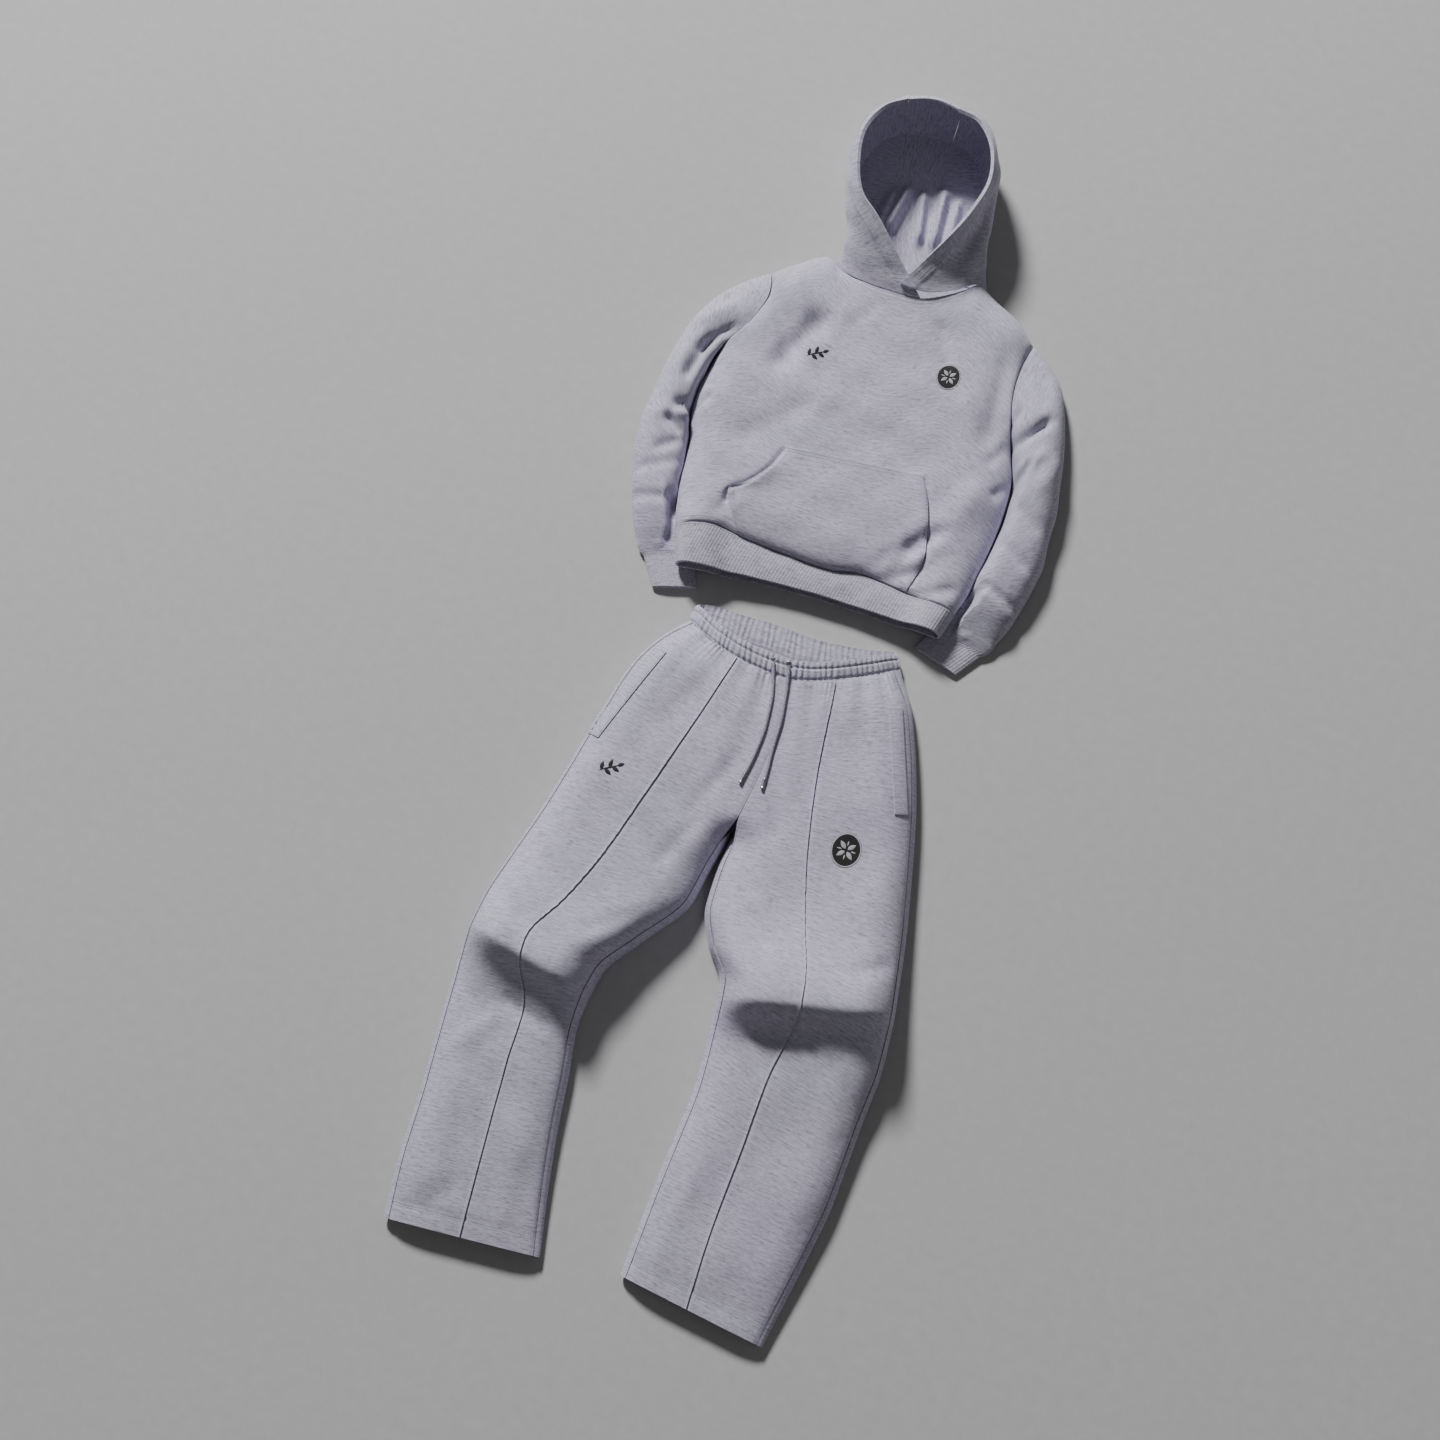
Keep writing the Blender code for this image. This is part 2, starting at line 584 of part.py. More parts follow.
def arms():
    arm_rows = (
        ("right", SLEEVE_RIGHT, CUFF_RIGHT, BODY_RIGHT, UNDERARM_RIGHT_Y, -1),
        ("left", SLEEVE_LEFT, CUFF_LEFT, BODY_LEFT, UNDERARM_LEFT_Y, 1),
    )
    for name, table, ends, side, underarm, sign in arm_rows:
        grid = sleeve_grid(table, side, underarm, sign, ARM_ROWS, ARM_POINTS)
        seam, edge = (off_arm(ends["inner"][k], ends["outer"][k], -sign) for k in (0, 1))
        cuff = cuff_grid(ends, grid[-1], seam, side, sign, ARM_POINTS)
        across = beside(grid[0])
        first, last = "first", "last"
        if sign > 0:
            grid, cuff = grid[::-1], cuff[::-1]
            first, last = "last", "first"
        wall("sleeve_" + name, grid, FLEECE, HOODIE_AT, ring=True, cuts={last: seam, first: across})
        wall("cuff_" + name, cuff, RIB, HOODIE_AT, "rib", ring=True, cuts={first: seam, last: edge})


def tree_of(*objects):
    """A search tree over the faces of built panels, in millimetres from the set's origin."""
    points, faces = [], []
    for made in objects:
        start = len(points)
        points += [tuple(corner.co / MM) for corner in made.data.vertices]
        faces += [[start + k for k in face.vertices] for face in made.data.polygons]
    return BVHTree.FromPolygons(points, faces)


def top_of(tree, plan):
    """The height of a panel's upper side at each place of a plan."""
    heights = []
    for x, y in np.asarray(plan).reshape(-1, 2):
        hit = tree.ray_cast((x, y, 500.0), (0, 0, -1))[0]
        heights.append(hit.z if hit else 0.0)
    return np.array(heights).reshape(np.asarray(plan).shape[:-1])


def pocket(front):
    rows = np.linspace(0, 1, 9)
    left = through(np.column_stack([POCKET["left_x"], POCKET["left_y"]]), rows)
    right = through(np.column_stack([POCKET["right_x"], POCKET["right_y"]]), rows)
    share = np.linspace(0, 1, 13)[None, :, None]
    plan = left[::-1, None] * (1 - share) + right[::-1, None] * share
    hem = line(HEM_SEAM, np.linspace(0, 1, 200))
    base = np.interp(plan[0, :, 0], hem[:, 0], hem[:, 1]) + 1.5
    plan[..., 1] += (base - plan[0, :, 1])[None] * (1 - rows[:, None]) ** 2
    plan = plan + HOODIE_AT[:2]
    tree = tree_of(front)
    inner = lifted_clear(tree, np.dstack([plan, top_of(tree, plan) + POCKET_GAP]), POCKET_GAP)
    outer = inner + (0, 0, FLEECE)
    wall("kangaroo_pocket", outer, FLEECE, np.zeros(3), inner=inner)


def skin(table, names, rows, columns):
    """A smooth surface through a table of sections, each a row of points across it."""
    control = np.array([table[name] for name in names], float).transpose(1, 0, 2)
    knots = np.arange(control.shape[0])
    down = steady(knots, control.reshape(len(knots), -1), np.linspace(0, knots[-1], rows))
    down = down.reshape(rows, len(names), 3).transpose(1, 0, 2).reshape(len(names), -1)
    knots = np.arange(len(names))
    both = steady(knots, down, np.linspace(0, knots[-1], columns))
    return both.reshape(columns, rows, 3).transpose(1, 0, 2)


def steady(knots, values, at):
    """A cubic through rows of values at even knots."""
    tangents = np.gradient(values, axis=0)
    k = np.clip(at.astype(int), 0, len(knots) - 2)
    t = (at - k)[:, None]
    return (
        values[k] * (1 + 2 * t) * (1 - t) ** 2
        + tangents[k] * t * (1 - t) ** 2
        + values[k + 1] * t * t * (3 - 2 * t)
        - tangents[k + 1] * t * t * (1 - t)
    )


def neck_row(columns, front_shares, back_shares):
    """The hood's lower edge: along the front's neckline, then back along the back's."""
    u = BODY_U
    front_plan = body_plan(u, np.array([0.98, 1]), NECKLINE)
    height = front_height(front_plan, u, np.array([0.98, 1]))[1]
    front = np.column_stack([front_plan[1], height])
    at = np.linspace(0, 1, columns)
    shares = np.where(
        at <= 0.5,
        front_shares[0] + (front_shares[1] - front_shares[0]) * at * 2,
        back_shares[0] + (back_shares[1] - back_shares[0]) * (at * 2 - 1),
    )
    on_front = np.column_stack([np.interp(shares, u, front[:, k]) for k in range(3)])
    back = body_plan(u, np.array([0.98, 1]), BACK_NECKLINE)[1]
    on_back = np.column_stack([*(np.interp(shares, u, back[:, k]) for k in range(2)), 0 * at])
    fall = np.clip((at - 0.5) / 0.15, 0, 1)
    on_back[:, 2] = SIDE_SEAM_HEIGHT * (1 - fall)
    row = np.where((at <= 0.5)[:, None], on_front, on_back)
    row[:, 1] += NECK_GAP
    return row


def hood_side(table, front_shares, back_shares, lap):
    names = ("rim", "upper", "bulge", "floor", "seam")
    grid = skin(table, names, HOOD_ROWS, HOOD_COLUMNS)
    exact = neck_row(HOOD_COLUMNS, front_shares, back_shares)
    near_rim = np.clip(1 - np.linspace(0, 1, HOOD_COLUMNS) / 0.45, 0, 1)
    exact[:, 2] += lap * near_rim
    exact[:, 1] += lap * near_rim
    weight = np.linspace(0, 1, HOOD_ROWS)[:, None, None] ** 5
    grid += (exact - grid[-1])[None] * weight
    grid[..., 2] = np.maximum(grid[..., 2], 0)
    return grid


def hood():
    left = hood_side(HOOD_RIGHT, (0.53, 0.245), (0.245, 0.41), 0.0)
    right = hood_side(HOOD_LEFT, (0.46, 0.755), (0.755, 0.59), HOOD_LAP)
    left_edge = np.concatenate([left[0], left[1:, -1]])
    right_edge = np.concatenate([right[0], right[1:, -1]])
    apart = unit(right_edge - left_edge) * 2 * SEAM_GAP
    shares = np.linspace(0, 1, 4)[:, None, None]
    strip = (left_edge + apart)[None] * (1 - shares) + (right_edge - apart)[None] * shares
    crown = np.clip(1 - np.arange(strip.shape[1]) / HOOD_COLUMNS, 0, 1) ** 0.5
    strip[..., 1] += CROWN_BULGE * np.sin(np.pi * shares[..., 0]) * crown
    side_cuts = {"first": (1, 0, 0), "right": (1, 0, 0), "last": (0, 1, 0)}
    wall("hood_right", left, HOOD_CLOTH, HOODIE_AT, cuts=side_cuts)
    side_cuts = {"first": (1, 0, 0), "left": (1, 0, 0), "last": (0, 1, 0)}
    wall("hood_left", right[:, ::-1], HOOD_CLOTH, HOODIE_AT, cuts=side_cuts)
    strip_cuts = {"first": (1, 0, 0), "last": (1, 0, 0), "right": (0, 1, 0)}
    wall("hood_centre", strip[::-1], HOOD_CLOTH, HOODIE_AT, cuts=strip_cuts)


def lifted_clear(tree, under, gap):
    """Raises a grid until nothing of what it lies on reaches through its faces."""
    shares = np.linspace(0, 1, 5)
    for _ in range(4):
        need = np.zeros(under.shape[:2])
        for i in range(under.shape[0] - 1):
            for j in range(under.shape[1] - 1):
                s, t = np.meshgrid(shares, shares, indexing="ij")
                s, t = s[..., None], t[..., None]
                cell = (
                    under[i, j] * (1 - s) * (1 - t)
                    + under[i, j + 1] * (1 - s) * t
                    + under[i + 1, j] * s * (1 - t)
                    + under[i + 1, j + 1] * s * t
                )
                short = (top_of(tree, cell[..., :2]) + gap - cell[..., 2]).max()
                block = need[i : i + 2, j : j + 2]
                np.maximum(block, short, out=block)
        under[..., 2] += np.maximum(need, 0)
    return under


def closed_through(points, at):
    """A closed smooth loop read at shares of its length, which may be below zero."""
    points = np.asarray(points, float)
    padded = np.concatenate([points[-3:], points, points[:4]])
    run = np.concatenate([[0], np.cumsum(np.linalg.norm(np.diff(padded, axis=0), axis=1))])
    start, end = run[3], run[3 + len(points)]
    wanted = start + (np.asarray(at, float) % 1.0) * (end - start)
    return through(padded, wanted / run[-1])


def loop_share(points, index):
    points = np.asarray(points, float)
    closed = np.concatenate([points, points[:1]])
    run = np.concatenate([[0], np.cumsum(np.linalg.norm(np.diff(closed, axis=0), axis=1))])
    return run[index] / run[-1]


def loop_crossing(points, x, low, high):
    """The share of a loop, between two others, at which it crosses a place in X."""
    at = np.linspace(low, high, 400)
    found = closed_through(points, at)[:, 0]
    return float(at[np.argmin(np.abs(found - x))])


def leg_rows(table):
    at = np.linspace(0, len(table["height"]) - 1, LEG_ROWS)
    at = np.where(at < 4, 4 * (at / 4) ** 1.1, at)
    rows = {key: smooth(np.arange(len(values)), values, at) for key, values in table.items()}
    outer = np.column_stack([rows["outer_x"], rows["outer_y"]])
    inner = np.column_stack([rows["inner_x"], rows["inner_y"]])
    closing = np.clip((CROTCH["starts"] - inner[:, 1]) / (CROTCH["starts"] - CROTCH["closed"]), 0, 1)
    closing = closing * closing * (3 - 2 * closing)
    return outer, inner, rows["height"], closing


def tuck_distances(table, outer, inner):
    """How far from the outer edge the tuck crosses each section."""
    curve = line(table, np.linspace(0, 1, 300))
    found = []
    for start, end in zip(outer, inner):
        run = unit(end - start)
        aside = (curve - start) @ np.array([-run[1], run[0]])
        found.append((curve[np.argmin(np.abs(aside))] - start) @ run)
    return np.array(found)


def knee_rise(x, y, knee):
    outer, inner = np.array(knee["outer"], float), np.array(knee["inner"], float)
    run = unit(inner - outer)
    up = np.array([-run[1], run[0]])
    up = up * np.sign(up[1])
    towards_hip = (x - outer[0]) * up[0] + (y - outer[1]) * up[1]
    width = np.where(towards_hip > 0, knee["hip"], knee["foot"])
    return knee["rise"] * np.exp(-((np.abs(towards_hip) / width) ** 1.7))


def leg_top(plan, distance, width, height, closing, knee):
    """The height of a leg's upper side, by its distance from the outer edge."""
    edge = SIDE_SEAM_HEIGHT / height
    outer = edge + (1 - edge) * roll(distance, LEG_ROLL)
    inner = edge + (1 - edge) * roll(width - distance, LEG_ROLL)
    inner = inner * closing + 1 - closing
    rise = knee_rise(plan[..., 0], plan[..., 1], knee)
    sides = roll(distance, 75) * (roll(width - distance, 75) * closing + 1 - closing)
    return height * softest(outer, inner) + rise * sides


def leg_points(outer, inner, distance):
    run = unit(inner - outer)
    return outer[:, None] + run[:, None] * distance[..., None]


def towards_waist(grid, target, outer):
    """Draws a leg's upper rows to the waistband's lower edge."""
    fallen = (outer[0, 1] - outer[:, 1]) / WAIST_BLEND
    weight = np.clip(1 - fallen, 0, 1) ** 2
    return grid + (target - grid[0])[None] * weight[:, None, None]


def leg_front_grid(table, knee, tuck, shares, half, rise=0.0):
    """The front of one leg. shares are its ends on the waistband, half its columns each side."""
    outer, inner, height, closing = leg_rows(table)
    width = np.linalg.norm(inner - outer, axis=1)
    first = np.full(len(width), SIDE_LAP)
    last = width - (SIDE_LAP * closing + SEAM_GAP * (1 - closing))
    middle = np.clip(tuck_distances(tuck, outer, inner), first + 15, last - 15)
    from_outer = np.linspace(0, 1, half) ** 1.4
    to_inner = 1 - from_outer[::-1]
    near = TUCK_WIDTH
    distance = np.concatenate(
        [
            first[:, None] + (middle - near - first)[:, None] * from_outer,
            middle[:, None],
            (middle + near)[:, None] + (last - middle - near)[:, None] * to_inner,
        ],
        axis=1,
    )
    plan = leg_points(outer, inner, distance)
    z = leg_top(plan, distance, width[:, None], height[:, None], closing[:, None], knee)
    grid = np.dstack([plan, z])
    across = (distance[0] - distance[0, 0]) / (distance[0, -1] - distance[0, 0])
    target = closed_through(WAIST_BOTTOM, shares[0] + (shares[1] - shares[0]) * across)
    target[:, 1] -= WAIST_GAP
    grid = towards_waist(grid, target, outer)
    grid[:, half, 2] += rise
    return grid


def leg_back_grid(table, knee, shares):
    """The back of one leg, which wraps up over both sides to the seams on top."""
    outer, inner, height, closing = leg_rows(table)
    width = np.linalg.norm(inner - outer, axis=1)
    lap = SIDE_LAP - 2 * SEAM_GAP
    side = np.array([lap, 3.0, 0.0, 3.5, 10.0])
    floor = np.linspace(0, 1, 7)[1:-1]
    shut = np.array([10.0, 3.5, 0.0, 3.0, lap])
    spread = np.array([10.0, 7.6, 5.2, 2.8, SEAM_GAP])
    from_inner = shut[None] * closing[:, None] + spread[None] * (1 - closing[:, None])
    distance = np.concatenate(
        [
            np.repeat(side[None], len(width), axis=0),
            10 + (width - 20)[:, None] * floor,
            width[:, None] - from_inner,
        ],
        axis=1,
    )
    plan = leg_points(outer, inner, distance)
    top = leg_top(plan, distance, width[:, None], height[:, None], closing[:, None], knee)
    z = np.zeros_like(top)
    z[:, :2] = top[:, :2]
    z[:, 2] = SIDE_SEAM_HEIGHT
    z[:, 3] = 2.0
    closed = np.column_stack([0 * width, 2 + 0 * width, SIDE_SEAM_HEIGHT + 0 * width, top[:, -2], top[:, -1]])
    z[:, -5:] = closed * closing[:, None]
    grid = np.dstack([plan, z])
    seam, edge, centre = shares
    step = np.sign(edge - seam)
    near_side = [seam + step * 0.0008, (seam + edge) / 2, edge, edge + step * 0.012, edge + step * 0.026]
    far = centre - step * np.array([0.0145, 0.011, 0.0075, 0.004, 0.0004])
    between = near_side[-1] + (far[0] - near_side[-1]) * floor
    target = closed_through(WAIST_BOTTOM, np.concatenate([near_side, between, far]))
    target[:, 1] -= WAIST_GAP
    grid = towards_waist(grid, target, outer)
    grid[..., 2] = np.maximum(grid[..., 2], 0)
    return grid


def legs():
    seam_right = loop_share(WAIST_BOTTOM, RIGHT_SEAM)
    seam_left = loop_share(WAIST_BOTTOM, LEFT_SEAM)
    side_left = loop_share(WAIST_BOTTOM, LEFT_SIDE)
    front_centre = loop_crossing(WAIST_BOTTOM, CENTRE_SEAM_X, seam_right, seam_left)
    back_centre = loop_crossing(WAIST_BOTTOM, CENTRE_SEAM_X, side_left, 1.0)
    sides = (
        ("right", LEG_RIGHT, KNEE_RIGHT, TUCK_RIGHT, (seam_right, 0.0), back_centre - 1.0, False),
        ("left", LEG_LEFT, KNEE_LEFT, TUCK_LEFT, (seam_left, side_left), back_centre, True),
    )
    fronts, backs = [], []
    for name, table, knee, tuck, (seam, edge), centre, turned in sides:
        across = unit(np.column_stack([leg_rows(table)[1] - leg_rows(table)[0], np.zeros(LEG_ROWS)]))
        shares = (seam, front_centre)
        grid = leg_front_grid(table, knee, tuck, shares, TUCK_SIDE_COLUMNS, PINTUCK_RISE)
        plain = leg_front_grid(table, knee, tuck, shares, TUCK_SIDE_COLUMNS)
        order = slice(None) if turned else slice(None, None, -1)
        cuts = {"left": across[order], "right": across[order], "first": (0, 1, 0), "last": (0, 1, 0)}
        inner = moved_in(plain[order], FLEECE, False, cuts)
        fronts.append(wall("trouser_front_" + name, grid[order], FLEECE, TROUSERS_AT, inner=inner))
        back = leg_back_grid(table, knee, (seam, edge, centre))
        order = slice(None, None, -1) if turned else slice(None)
        cuts = {"left": across[order], "right": across[order], "first": (0, 1, 0), "last": (0, 1, 0)}
        backs.append(wall("trouser_back_" + name, back[order], FLEECE, TROUSERS_AT, cuts=cuts))
    return fronts, backs


def waistband():
    """The gathered band: its ridges stand in the outer points, over a plain inside."""
    at = np.arange(2 * GATHERS) / (2 * GATHERS)
    lower = closed_through(WAIST_BOTTOM, at)
    upper = closed_through(WAIST_TOP, at)
    shares = np.array([0, 0.5, 1])[:, None, None]
    base = lower[None] * (1 - shares) + upper[None] * shares
    base[..., 2] = np.maximum(base[..., 2], 0)
    inward = -normals_of(base, True)
    inward[:, :, 1] *= 0.0
    inward = unit(inward)
    valley = (np.arange(2 * GATHERS) % 2)[None, :, None]
    outer = base + inward * GATHER_DEPTH * valley
    inner = base + inward * (GATHER_DEPTH + BAND_WALL)
    return wall("waistband", outer, RIB, TROUSERS_AT, "rib", ring=True, inner=inner)


def welts(fronts, backs):
    """A sewn strip along each hip pocket's opening."""
    for name, spec, front, back in zip(("right", "left"), (WELT_RIGHT, WELT_LEFT), fronts, backs):
        top, bottom = np.array(spec["top"], float), np.array(spec["bottom"], float)
        aside = np.array([-(bottom - top)[1], (bottom - top)[0]])
        aside = unit(aside) * spec["width"] / 2
        if aside[0] < 0:
            aside = -aside
        along = np.linspace(0, 1, 8)[:, None, None]
        across = np.linspace(-1, 1, 4)[None, :, None]
        plan = bottom * (1 - along) + top * along + aside * across + TROUSERS_AT[:2]
        tree = tree_of(front, back)
        inner = lifted_clear(tree, np.dstack([plan, top_of(tree, plan) + WELT_GAP]), WELT_GAP)
        wall("pocket_welt_" + name, inner + (0, 0, WELT_WALL), WELT_WALL, np.zeros(3), inner=inner)


def cord_route(points, tree):
    """The cord's middle line over what it lies on, from its eyelet to its tip."""
    plan = through(np.array(points, float), np.linspace(0, 1, CORD_POINTS)) + TROUSERS_AT[:2]
    radius = CORD_DIAMETER / 2
    around = [(0, 0), (radius, 0), (-radius, 0), (0, radius), (0, -radius)]
    height = np.max([top_of(tree, plan + offset) for offset in around], axis=0)
    padded = np.pad(height, 1, mode="edge")
    height = np.maximum(height, (padded[:-2] + padded[2:]) / 2)
    return np.column_stack([plan, height + radius + CORD_GAP])


def cord(name, route):
    curve = bpy.data.curves.new(name, "CURVE")
    curve.dimensions = "3D"
    curve.bevel_depth = CORD_DIAMETER / 2 * MM
    curve.bevel_resolution = 2
    curve.use_fill_caps = True
    spline = curve.splines.new("POLY")
    spline.points.add(len(route) - 1)
    for point, place in zip(spline.points, route * MM):
        point.co = (*place, 1)
    made = bpy.data.objects.new(name, curve)
    bpy.context.scene.collection.objects.link(made)
    curve.materials.append(material("cord"))


def aglet(name, route):
    """A turned metal tip on the cord's end."""
    towards = unit(route[-1] - route[-2])
    start = route[-1] + towards * SEAM_GAP
    side = unit(np.cross(towards, (0, 0, 1)))
    up = np.cross(side, towards)
    angle = np.linspace(0, 2 * np.pi, AGLET_SIDES, endpoint=False)[:, None]
    spoke = side * np.cos(angle) + up * np.sin(angle)
    profile = ((0, 0.86), (0.06, 1), (0.14, 1), (0.18, 0.9), (0.82, 0.9), (0.88, 1), (0.95, 1), (1, 0.8))
    rings = [start + towards * AGLET_LENGTH * at + spoke * AGLET_DIAMETER / 2 * size for at, size in profile]
    points = np.concatenate(rings)
    faces = []
    for i in range(len(profile) - 1):
        for j in range(AGLET_SIDES):
            k = (j + 1) % AGLET_SIDES
            low, high = i * AGLET_SIDES, (i + 1) * AGLET_SIDES
            faces.append((low + k, low + j, high + j, high + k))
    faces.append(tuple(range(AGLET_SIDES)))
    faces.append(tuple(len(points) - 1 - j for j in range(AGLET_SIDES)))
    solid(name, points, faces, "metal")


def drawcords(fronts, band):
    tree = tree_of(*fronts, band)
    for side, points in (("right", CORD_RIGHT), ("left", CORD_LEFT)):
        route = cord_route(points, tree)
        cord("drawcord_" + side, route)
        aglet("aglet_" + side, route)


def main():
    for old in list(bpy.data.objects):
        bpy.data.objects.remove(old, do_unlink=True)
    front = torso()
    hem_band()
    arms()
    pocket(front)
    hood()
    fronts, backs = legs()
    band = waistband()
    welts(fronts, backs)
    drawcords(fronts, band)


main()
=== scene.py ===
"""The dressed tracksuit: marled fleece panels, rib, stitching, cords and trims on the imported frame.

Tables are in millimetres. Those of the hoodie are measured from the middle of its hem, those of
the trousers from the top of their waist, and both from the line that runs up the set's middle.
"""

import math

import bpy
import numpy as np
from mathutils import Matrix, Vector
from mathutils.bvhtree import BVHTree


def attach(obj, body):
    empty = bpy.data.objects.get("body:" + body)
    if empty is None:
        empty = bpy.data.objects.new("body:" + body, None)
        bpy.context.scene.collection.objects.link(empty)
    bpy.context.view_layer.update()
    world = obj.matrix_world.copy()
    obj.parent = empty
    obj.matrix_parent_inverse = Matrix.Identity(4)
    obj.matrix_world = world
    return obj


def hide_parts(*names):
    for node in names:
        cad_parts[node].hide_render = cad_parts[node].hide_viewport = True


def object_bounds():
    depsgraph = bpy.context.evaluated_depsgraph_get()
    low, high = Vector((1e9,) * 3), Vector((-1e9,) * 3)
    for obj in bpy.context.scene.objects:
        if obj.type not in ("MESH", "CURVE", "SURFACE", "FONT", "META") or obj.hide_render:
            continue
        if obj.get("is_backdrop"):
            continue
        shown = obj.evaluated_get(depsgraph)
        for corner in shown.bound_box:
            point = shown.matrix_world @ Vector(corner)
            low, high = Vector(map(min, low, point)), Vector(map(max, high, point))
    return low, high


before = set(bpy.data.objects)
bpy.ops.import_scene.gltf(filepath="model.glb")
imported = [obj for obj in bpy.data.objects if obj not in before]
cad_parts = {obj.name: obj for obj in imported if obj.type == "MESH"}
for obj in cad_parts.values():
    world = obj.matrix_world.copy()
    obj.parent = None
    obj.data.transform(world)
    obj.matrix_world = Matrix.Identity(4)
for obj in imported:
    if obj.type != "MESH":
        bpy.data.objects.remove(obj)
CAD_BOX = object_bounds()

MM = 0.001
SEAM_GAP = 0.3

FLEECE = 2.5
RIB = 4.0
HOOD_CLOTH = 3.0

HOODIE_AT = np.array([7.2, 95.5, 0.0])
TROUSERS_AT = np.array([7.2, 50.5, 0.0])

CHEST_HEIGHT = 47.0
SIDE_SEAM_HEIGHT = 9.0
HEM_LIFT = 15.0
BODY_WIDTH = 470.0
BODY_LENGTH = 500.0

# How far in from its edges a filled panel goes on rising.
BODY_SIDE_ROLL, BODY_TOP_ROLL, BODY_HEM_ROLL = 55, 60, 75
BACK_CURL_ROLL = 9
KNEE_ROLL = 75

# How square a tube's section is over its top, and under it.
TOP_POWER = 2.4
UNDER_POWER = 5

GATHERS = 78
GATHER_DEPTH = 2.2
CORD_DIAMETER = 5.0

# Shares of the body's sides below which its seams are level, and of its top that the shoulders take.
BELOW_RIGHT_ARM = 0.56
BELOW_LEFT_ARM = 0.62
SHOULDER_SHARE = 0.24

# Where the cuffs hold the body's lower corners up, and over what distance they do.
HEM_CORNER = 205.0
HEM_CORNER_SIZE = 45.0

# The way that a panel's upper and lower rims face.
FACING_Y = (0, 1, 0)

# The hoodie's side edges, from the hem seam up past the underarm to the tip of the shoulder.
# Right and left are the wearer's, so right is on the side of -X.
BODY_RIGHT = {
    "x": (-230, -248, -256, -272, -270, -258, -228, -216, -226),
    "y": (48, 120, 190, 258, 306, 356, 416, 468, 514),
}
BODY_LEFT = {
    "x": (221, 233, 241, 247, 243, 223, 209, 202, 203, 211),
    "y": (48, 95, 150, 235, 292, 348, 392, 434, 480, 525),
}
UNDERARM_RIGHT_Y = 306
UNDERARM_LEFT_Y = 348

# The shoulders and the front of the neck, from the right shoulder's tip to the left one's.
NECKLINE = {
    "x": (-226, -190, -144, -119, -90, -64, -30, 0, 24, 47, 74, 99, 138, 176, 211),
    "y": (514, 545, 571, 550, 535, 529, 527, 527, 532, 545, 566, 594, 579, 559, 525),
}
BACK_NECKLINE = {
    "x": (-226, -190, -144, -100, -50, 0, 50, 99, 138, 176, 211),
    "y": (514, 545, 571, 583, 588, 590, 594, 598, 579, 559, 525),
}
HEM_SEAM = {"x": (-230, -165, -119, -50, 19, 67, 115, 164, 221), "y": (48, 68, 63, 59, 57, 66, 61, 54, 48)}
HEM_EDGE = {"x": (-209, -110, -2, 98, 211), "y": (-9, 6, 14, 14, 8)}

# How high the front stands at its edges, as a share of the chest's height.
SIDE_SHARE = {"v": (0, 0.3, 0.55, 0.62, 0.72, 0.85, 1), "share": (0.2, 0.2, 0.2, 0.45, 0.85, 0.75, 0.2)}
TOP_SHARE = {
    "u": (0, 0.1, 0.22, 0.27, 0.36, 0.5, 0.66, 0.74, 0.79, 0.9, 1),
    "share": (0.2, 0.2, 0.22, 0.6, 1, 1.1, 1, 0.6, 0.22, 0.2, 0.2),
}
HEM_SHARE = {"u": (0, 0.15, 0.4, 0.6, 0.85, 1), "share": (0.8, 0.72, 0.62, 0.62, 0.72, 0.8)}

# Folds across the hoodie's front: the ends of each, its rise (below zero for a trough) and its width.
FRONT_FOLDS = {
    "x0": (-120, -188, -210, 178, 196, 120, 150, 205, -95),
    "y0": (450, 505, 470, 470, 255, 120, 95, 80, 300),
    "x1": (-165, -120, -150, 190, 150, 165, 80, 150, -190),
    "y1": (350, 390, 390, 330, 130, 165, 45, 45, 210),
    "rise": (-12, 6, -9, -8, 6, -9, -9, -7, -5),
    "width": (20, 18, 14, 18, 22, 13, 12, 11, 24),
}

# Each sleeve's stations down the arm: the edge beside the body, the outer edge and the height.
SLEEVE_RIGHT = {
    "inner_x": (-269.8, -272.6, -273, -268.6, -258, -252.5, -249.6, -243, -236, -212, -190),
    "inner_y": (302, 286, 262, 230, 195, 160, 128, 96, 72, 48, 26),
    "outer_x": (-228, -268, -302, -330, -340, -342, -339, -330, -316, -294, -269),
    "outer_y": (517, 484, 438, 361, 294, 239, 185, 135, 88, 38, -2),
    "height": (38, 46, 49, 47, 45, 43, 41, 39, 36, 27, 14),
}
SLEEVE_LEFT = {
    "inner_x": (226, 234, 244, 250, 248, 244, 238, 232, 226, 212, 193),
    "inner_y": (346, 322, 296, 262, 215, 165, 125, 90, 66, 42, 22),
    "outer_x": (213, 246, 274, 298, 315, 326, 328, 323, 314, 301, 286),
    "outer_y": (528, 500, 466, 402, 325, 245, 175, 125, 85, 45, 10),
    "height": (38, 47, 54, 56, 55, 53, 50, 46, 40, 28, 14),
}
CUFF_RIGHT = {"inner": ((-190, 26), (-164, -27)), "outer": ((-269, -2), (-237, -49))}
CUFF_LEFT = {"inner": ((193, 22), (175, -11)), "outer": ((286, 10), (255, -35))}
ARM_END_HEIGHT = 14.0
CUFF_HEIGHT = 12.0
ARMHOLE_GAP = 0.3
UNDER_HEM_Y = 98.0
SLEEVE_STEEP = 4.0
CUFF_GAP = 0.35

# The kangaroo pocket's outline on the front, clockwise from its top left corner.
POCKET = {
    "left_x": (-106, -122, -144, -168, -152, -134),
    "left_y": (222, 176, 146, 124, 84, 52),
    "right_x": (110, 128, 142, 150, 146, 140),
    "right_y": (244, 206, 160, 112, 82, 58),
}

